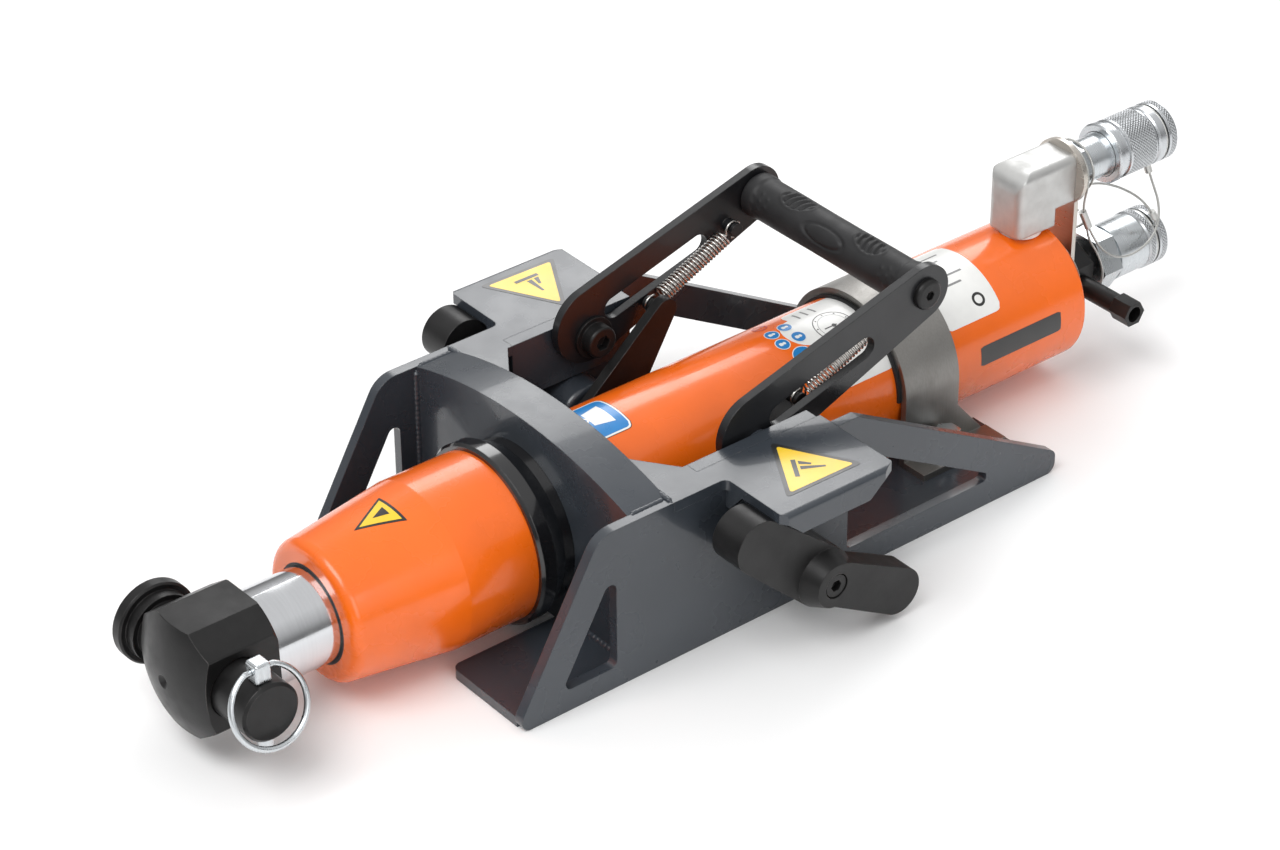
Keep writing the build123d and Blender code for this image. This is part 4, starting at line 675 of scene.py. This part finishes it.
def make_welds():
    """Beads where the cradle's plates meet, on both sides."""
    boss_low, boss_high = box_mm("shaft_boss_right")
    boss_y, boss_z = (boss_low.y + boss_high.y) / 2, (boss_low.z + boss_high.z) / 2
    boss_r = (boss_high.z - boss_low.z) / 2
    web_low, web_high = box_mm("pivot_web_right")
    strip_low, strip_high = box_mm("base_strip_right")
    inner = boss_high.x
    front, rear, low = BULK_LOW.y, BULK_HIGH.y, strip_high.z
    deck_under = WING_HIGH.z - 6
    for name, sx in (("right", 1), ("left", -1)):
        weld(f"seams_{name}", [
            [(sx * inner, front, low + 2), (sx * inner, front, SIDE_HIGH.z - 2)],
            [(sx * inner, rear, low + 2), (sx * inner, rear, deck_under - 1)],
            [(sx * inner, SIDE_LOW.y + 14, low), (sx * inner, front, low)],
            [(sx * inner, rear, low), (sx * inner, strip_high.y - 3, low)],
            [(sx * (strip_low.x + 4), front, low), (sx * inner, front, low)],
            circle_path(sx * inner, boss_y, boss_z, boss_r),
        ])
        web_x, outer = sx * web_high.x, sx * (SIDE_HIGH.x + 0.2)
        weld(f"deck_seam_{name}", [
            [(sx * 44, rear - 0.4, DECK_TOP - 0.2),
             (sx * (SIDE_HIGH.x - 1), rear - 0.4, DECK_TOP - 0.2)],
            [(web_x, web_low.y + 3, deck_under), (web_x, web_high.y - 3, deck_under)],
            [(outer, WING_LOW.y + 40, deck_under), (outer, WING_HIGH.y - 4, deck_under)],
        ], 1.6)
        weld(f"top_seam_{name}", [
            [(sx * inner, front + 1, SIDE_HIGH.z - 0.4), (sx * inner, rear - 1, SIDE_HIGH.z - 0.4)],
        ], 1.3)


# -------------------------------------------------------------------- flat labels
def flat_patch(name, outline, z, slot, body="cradle", drop=0.0):
    """A thin printed shape lying on a level face, from its outline in x and y."""
    middle = (sum(q[0] for q in outline) / len(outline), sum(q[1] for q in outline) / len(outline))
    vertices = [(q[0], q[1], z) for q in outline] + [(q[0], q[1], z - 0.1 - drop) for q in outline]
    count = len(outline)
    turn = sum((a[0] - middle[0]) * (b[1] - middle[1]) - (b[0] - middle[0]) * (a[1] - middle[1])
               for a, b in zip(outline, outline[1:] + outline[:1]))
    top = tuple(range(count)) if turn > 0 else tuple(reversed(range(count)))
    faces = [top] + [(k, (k + 1) % count, (k + 1) % count + count, k + count) for k in range(count)]
    patch = mesh_object(name, vertices, faces, body, smooth=False)
    patch.data.materials.append(MATERIALS[slot])
    return patch


def rounded(corners, r, steps=5):
    """Outline with each corner rounded."""
    result = []
    count = len(corners)
    for k in range(count):
        before, here, after = (Vector(corners[(k + j) % count]) for j in (-1, 0, 1))
        a = here + (before - here).normalized() * r
        b = here + (after - here).normalized() * r
        for i in range(steps + 1):
            t = i / steps
            q = a * (1 - t) ** 2 + here * 2 * t * (1 - t) + b * t * t
            result.append((q.x, q.y))
    return result


def centre_of(corners):
    """Middle of a flat outline's corners."""
    count = len(corners)
    return Vector((sum(c[0] for c in corners) / count, sum(c[1] for c in corners) / count))


def shrunk(corners, share):
    """Outline drawn in towards its middle."""
    middle = centre_of(corners)
    return [tuple(middle + (Vector(c) - middle) * share) for c in corners]


def hazard_triangle(name, corners, z):
    """Yellow triangle with a dark border and a plain pictogram of a hand bar."""
    flat_patch(name + "_border", rounded(corners, 3.5), z + 0.14, "label_black")
    flat_patch(name + "_field", rounded(shrunk(corners, 0.84), 2.5), z + 0.2, "label_yellow")
    middle = centre_of(corners)
    tip = max(corners, key=lambda c: min((Vector(c) - Vector(o)).length for o in corners if o != c))
    up = (Vector(tip) - middle).normalized()
    side = Vector((up.y, -up.x))
    size = (Vector(corners[0]) - Vector(corners[1])).length / 36
    shapes = ([(-5.5, -5.2), (5.5, -5.2), (5.5, -3.4), (-5.5, -3.4)],
              [(-1.1, -2.4), (1.1, -2.4), (0.5, 7.0), (-0.5, 7.0)],
              [(-4.6, -2.6), (-2.4, -2.6), (-1.6, 1.8), (-2.6, 2.2)])
    for k, shape in enumerate(shapes):
        outline = [tuple(middle + side * q[0] * size + up * q[1] * size) for q in shape]
        flat_patch(f"{name}_sign_{k}", outline, z + 0.26, "label_black")


def tube_patch(name, y_range, turn_range, r, slot, body="cradle", corner=0.0, steps=28):
    """A printed patch wrapped on the ram, between two positions and two angles from the top."""
    y0, y1 = y_range
    a0, a1 = (math.radians(a) for a in turn_range)
    across = max(2, int(abs(a1 - a0) * r / 1.0))
    vertices, faces = [], []
    width = abs(a1 - a0) * r
    for i in range(steps + 1):
        v = y0 + (y1 - y0) * i / steps
        edge = min(v - y0, y1 - v)
        pull = 0
        if edge < corner:
            pull = corner - math.sqrt(max(0, corner ** 2 - (corner - edge) ** 2))
        inset = pull / width * (a1 - a0)
        for k in range(across + 1):
            a = a0 + inset + (a1 - a0 - 2 * inset) * k / across
            vertices.append((r * math.sin(a), v, RAM_Z + r * math.cos(a)))
    row = across + 1
    for i in range(steps):
        for k in range(across):
            a = i * row + k
            faces.append((a, a + 1, a + row + 1, a + row))
    patch = mesh_object(name, vertices, faces, body)
    patch.data.materials.append(MATERIALS[slot])
    return patch


def tube_disc(name, y, turn, size, r, slot, rings=3, inner=0.0):
    """A round printed spot, or a ring, wrapped on the ram."""
    vertices, faces = [], []
    around = 32
    radii = [inner + (size - inner) * k / rings for k in range(rings + 1)]
    for q in radii:
        for k in range(around):
            b = 2 * math.pi * k / around
            a = math.radians(turn) + q * math.cos(b) / r
            vertices.append((r * math.sin(a), y + q * math.sin(b), RAM_Z + r * math.cos(a)))
    for i in range(rings):
        for k in range(around):
            a, b = i * around + k, i * around + (k + 1) % around
            faces.append((a, a + around, b + around, b))
    patch = mesh_object(name, vertices, faces, "cradle")
    patch.data.materials.append(MATERIALS[slot])
    return patch


WING_SIGNS = {
    "near": [(84.3, 84.7), (128.1, 109.2), (127.3, 59.1)],
    "far": [(-132.9, 61.9), (-131.6, 112.0), (-87.1, 86.4)],
}
NOSE_FRONT_R = 39.3     # where the rounded front edge meets the taper
NOSE_ROUND = 6
NOSE_PARALLEL = 42.5    # length of the nose behind its taper


def nose_radius(y):
    """Radius of the nose's painted taper at a position along the ram."""
    nose_low, nose_high = box_mm("nose_cone")
    full_r, taper_end = (nose_high.x - nose_low.x) / 2, nose_high.y - NOSE_PARALLEL
    behind, taper = y - nose_low.y - NOSE_ROUND, taper_end - nose_low.y - NOSE_ROUND
    return min(full_r, NOSE_FRONT_R + (full_r - NOSE_FRONT_R) * behind / taper)


def nose_sign(name, corners, lift, slot, share=1.0, cells=10):
    """A small triangle wrapped on the nose, its corners given as position and angle."""
    middle = np.mean(np.array(corners), axis=0)
    points = [middle + (np.array(c) - middle) * share for c in corners]
    vertices, faces, index = [], [], {}
    for i in range(cells + 1):
        for j in range(cells + 1 - i):
            k = cells - i - j
            y, turn = (points[0] * i + points[1] * j + points[2] * k) / cells
            r = nose_radius(y) + lift
            index[i, j] = len(vertices)
            angle = math.radians(turn)
            vertices.append((r * math.sin(angle), y, RAM_Z + r * math.cos(angle)))
    for i in range(cells):
        for j in range(cells - i):
            faces.append((index[i, j], index[i + 1, j], index[i, j + 1]))
            if i + j < cells - 1:
                faces.append((index[i + 1, j], index[i + 1, j + 1], index[i, j + 1]))
    sign = mesh_object(name, vertices, faces, "cradle")
    sign.data.materials.append(MATERIALS[slot])


def make_labels():
    """Printed labels on the ram, all with plain shapes and no lettering."""
    lift = RAM_R + 0.08
    strap_low, _ = box_mm("retaining_strap")
    tube_patch("weight_label_edge", (22.0, 51.0), (-22, 22.5), lift, "label_black", corner=4)
    tube_patch("weight_label_rim", (22.4, 50.6), (-21.5, 22), lift + 0.05, "label_white",
               corner=3.8)
    tube_patch("weight_label", (23.4, 49.6), (-20, 20.5), lift + 0.1, "label_blue", corner=3)
    rows, columns, top = 8, 14, lift + 0.15
    row = columns + 1
    weight = [(32.5 + 12.0 * t, 6.0 + 2.5 * t) for t in np.linspace(0, 1, rows + 1)]
    vertices = [(top * math.sin(x / RAM_R), y, RAM_Z + top * math.cos(x / RAM_R))
                for y, half in weight for x in np.linspace(-half, half, row)]
    faces = [(a, a + 1, a + row + 1, a + row)
             for i in range(rows) for a in range(i * row, i * row + columns)]
    sign = mesh_object("weight_sign", vertices, faces, "cradle")
    sign.data.materials.append(MATERIALS["label_white"])
    tube_disc("weight_sign_ring", 30.2, 0.0, 2.6, lift + 0.15, "label_white", 2, 1.5)
    front = strap_low.y
    tube_patch("gauge_label", (177.0, front + 1), (-24, 62), lift, "label_white", corner=5)
    tube_disc("gauge_label_end", 177.0, 5.0, 12.5, lift - 0.01, "label_white")
    gauge_y, gauge_turn, tick_r = 194.0, 13.4, 10.2
    tube_disc("gauge_ring", gauge_y, gauge_turn, 12.0, lift + 0.05, "label_black", 2, 11.4)
    tube_disc("gauge_inner_ring", gauge_y, gauge_turn, 9.2, lift + 0.05, "label_grey", 2, 8.9)
    for k in range(9):
        a = math.radians(20 + 40 * k)
        tube_disc(f"gauge_tick_{k}", gauge_y + tick_r * math.sin(a),
                  gauge_turn + math.degrees(tick_r * math.cos(a) / RAM_R), 0.5,
                  lift + 0.06, "label_black", 1)
    tube_patch("gauge_hand", (187.5, 196.0), (12.9, 13.9), lift + 0.07, "label_black")
    tube_disc("gauge_hub", gauge_y, gauge_turn, 1.3, lift + 0.08, "label_black", 1)
    for k in range(3):
        tube_patch(f"gauge_line_{k}", (183.0 + 5.5 * k, 184.3 + 5.5 * k), (-18, -8),
                   lift + 0.05, "label_grey")
    for k, (y, turn, size) in enumerate(((160.3, -3.4, 3.9), (170.8, -5.6, 3.9), (171.1, 9.6, 3.9),
                                         (159.5, 10.1, 3.9), (164.9, 27.0, 6.4))):
        tube_disc(f"care_spot_rim_{k}", y, turn, size + 0.5, lift + 0.09, "label_white")
        tube_disc(f"care_spot_{k}", y, turn, size, lift + 0.13, "label_blue")
        tube_disc(f"care_sign_{k}", y + 0.3 * size, turn, size * 0.26, lift + 0.17,
                  "label_white", 1)
        half_turn = math.degrees(size * 0.3 / RAM_R)
        tube_patch(f"care_sign_bar_{k}", (y - size * 0.55, y + size * 0.05),
                   (turn - half_turn, turn + half_turn),
                   lift + 0.17, "label_white", corner=size * 0.15, steps=8)
    tube_disc("no_hand_ring", 162.3, -21.0, 4.4, lift + 0.09, "label_red", 2, 3.5)
    tube_patch("no_hand_bar", (158.6, 166.0), (-21.6, -20.4), lift + 0.1, "label_red")
    tube_patch("data_label", (255.5, 296.0), (-26, 56), lift, "label_white", corner=4)
    for k in range(5):
        tube_patch(f"data_line_{k}", (262.0, 287.0 - 5.5 * (k % 3)), (-14 + 9 * k, -12.2 + 9 * k),
                   lift + 0.05, "label_grey")
    tube_disc("data_mark", 284.0, 42.0, 4.2, lift + 0.05, "label_black", 2, 2.6)
    tube_patch("maker_plate", (275.0, 336.0), (77, 93.5), lift, "label_black", corner=0.8)
    nose = ((-94.3, -10.8), (-93.4, 19.1), (-118.6, 5.5))
    nose_sign("nose_sign_border", nose, 0.08, "label_black")
    nose_sign("nose_sign_field", nose, 0.16, "label_yellow", 0.80)
    mark = ((-97.5, -1.5), (-97.5, 9.0), (-108.0, 4.3))
    nose_sign("nose_sign_mark", mark, 0.24, "label_black", 0.8)


make_labels()

for name, sx in (("right", 1), ("left", -1)):
    make_spring(name, sx)
make_grip()
make_welds()
for name, corners in WING_SIGNS.items():
    hazard_triangle(f"wing_sign_{name}", corners, DECK_TOP)


# -------------------------------------------------------------------- the studio
def make_studio():
    """Plain pale floor, soft world light and three large soft lights."""
    floor = bpy.data.meshes.new("floor")
    half, under = 6, -0.0002
    corners = [(-half, -half, under), (half, -half, under),
               (half, half, under), (-half, half, under)]
    floor.from_pydata(corners, [], [(0, 1, 2, 3)])
    ground = bpy.data.objects.new("floor", floor)
    bpy.context.scene.collection.objects.link(ground)
    s = Shader("floor", (0.93, 0.93, 0.93), 0.6)
    s.rough(s.ramp(s.noise(3), 0.3, 0.7, 0.55, 0.7))
    floor.materials.append(s.material)
    world = bpy.data.worlds.new("world")
    world.use_nodes = True
    tree = world.node_tree
    direction = tree.nodes.new("ShaderNodeTexCoord").outputs["Generated"]
    height = tree.nodes.new("ShaderNodeSeparateXYZ")
    tree.links.new(direction, height.inputs["Vector"])
    bands = tree.nodes.new("ShaderNodeValToRGB")
    tree.links.new(height.outputs["Z"], bands.inputs["Fac"])
    for place, grey in ((0.10, 0.28), (0.34, 0.62), (0.72, 1.0)):
        bands.color_ramp.elements.new(place).color = (grey, grey, grey, 1)
    bands.color_ramp.elements[0].color = (0.30, 0.30, 0.30, 1)
    bands.color_ramp.elements[-1].color = (1, 1, 1, 1)
    tree.links.new(bands.outputs["Color"], tree.nodes["Background"].inputs["Color"])
    tree.nodes["Background"].inputs["Strength"].default_value = 0.8
    bpy.context.scene.world = world
    lights = (("key", (0.2, -1.1, 1.9), (1.6, 1.0), 26), ("fill", (1.9, -0.3, 0.9), (1.2, 1.2), 9),
              ("rear", (-1.2, 1.4, 1.3), (1.6, 0.8), 16))
    for name, place, size, power in lights:
        data = bpy.data.lights.new(name, "AREA")
        data.shape = "RECTANGLE"
        data.size, data.size_y = size
        data.energy = power
        light = bpy.data.objects.new(name, data)
        light.location = place
        light.rotation_mode = "QUATERNION"
        light.rotation_quaternion = (Vector(place) - Vector((0, 0.1, 0.05))).to_track_quat("Z", "Y")
        bpy.context.scene.collection.objects.link(light)
    bpy.context.scene.view_settings.view_transform = "Standard"


make_studio()
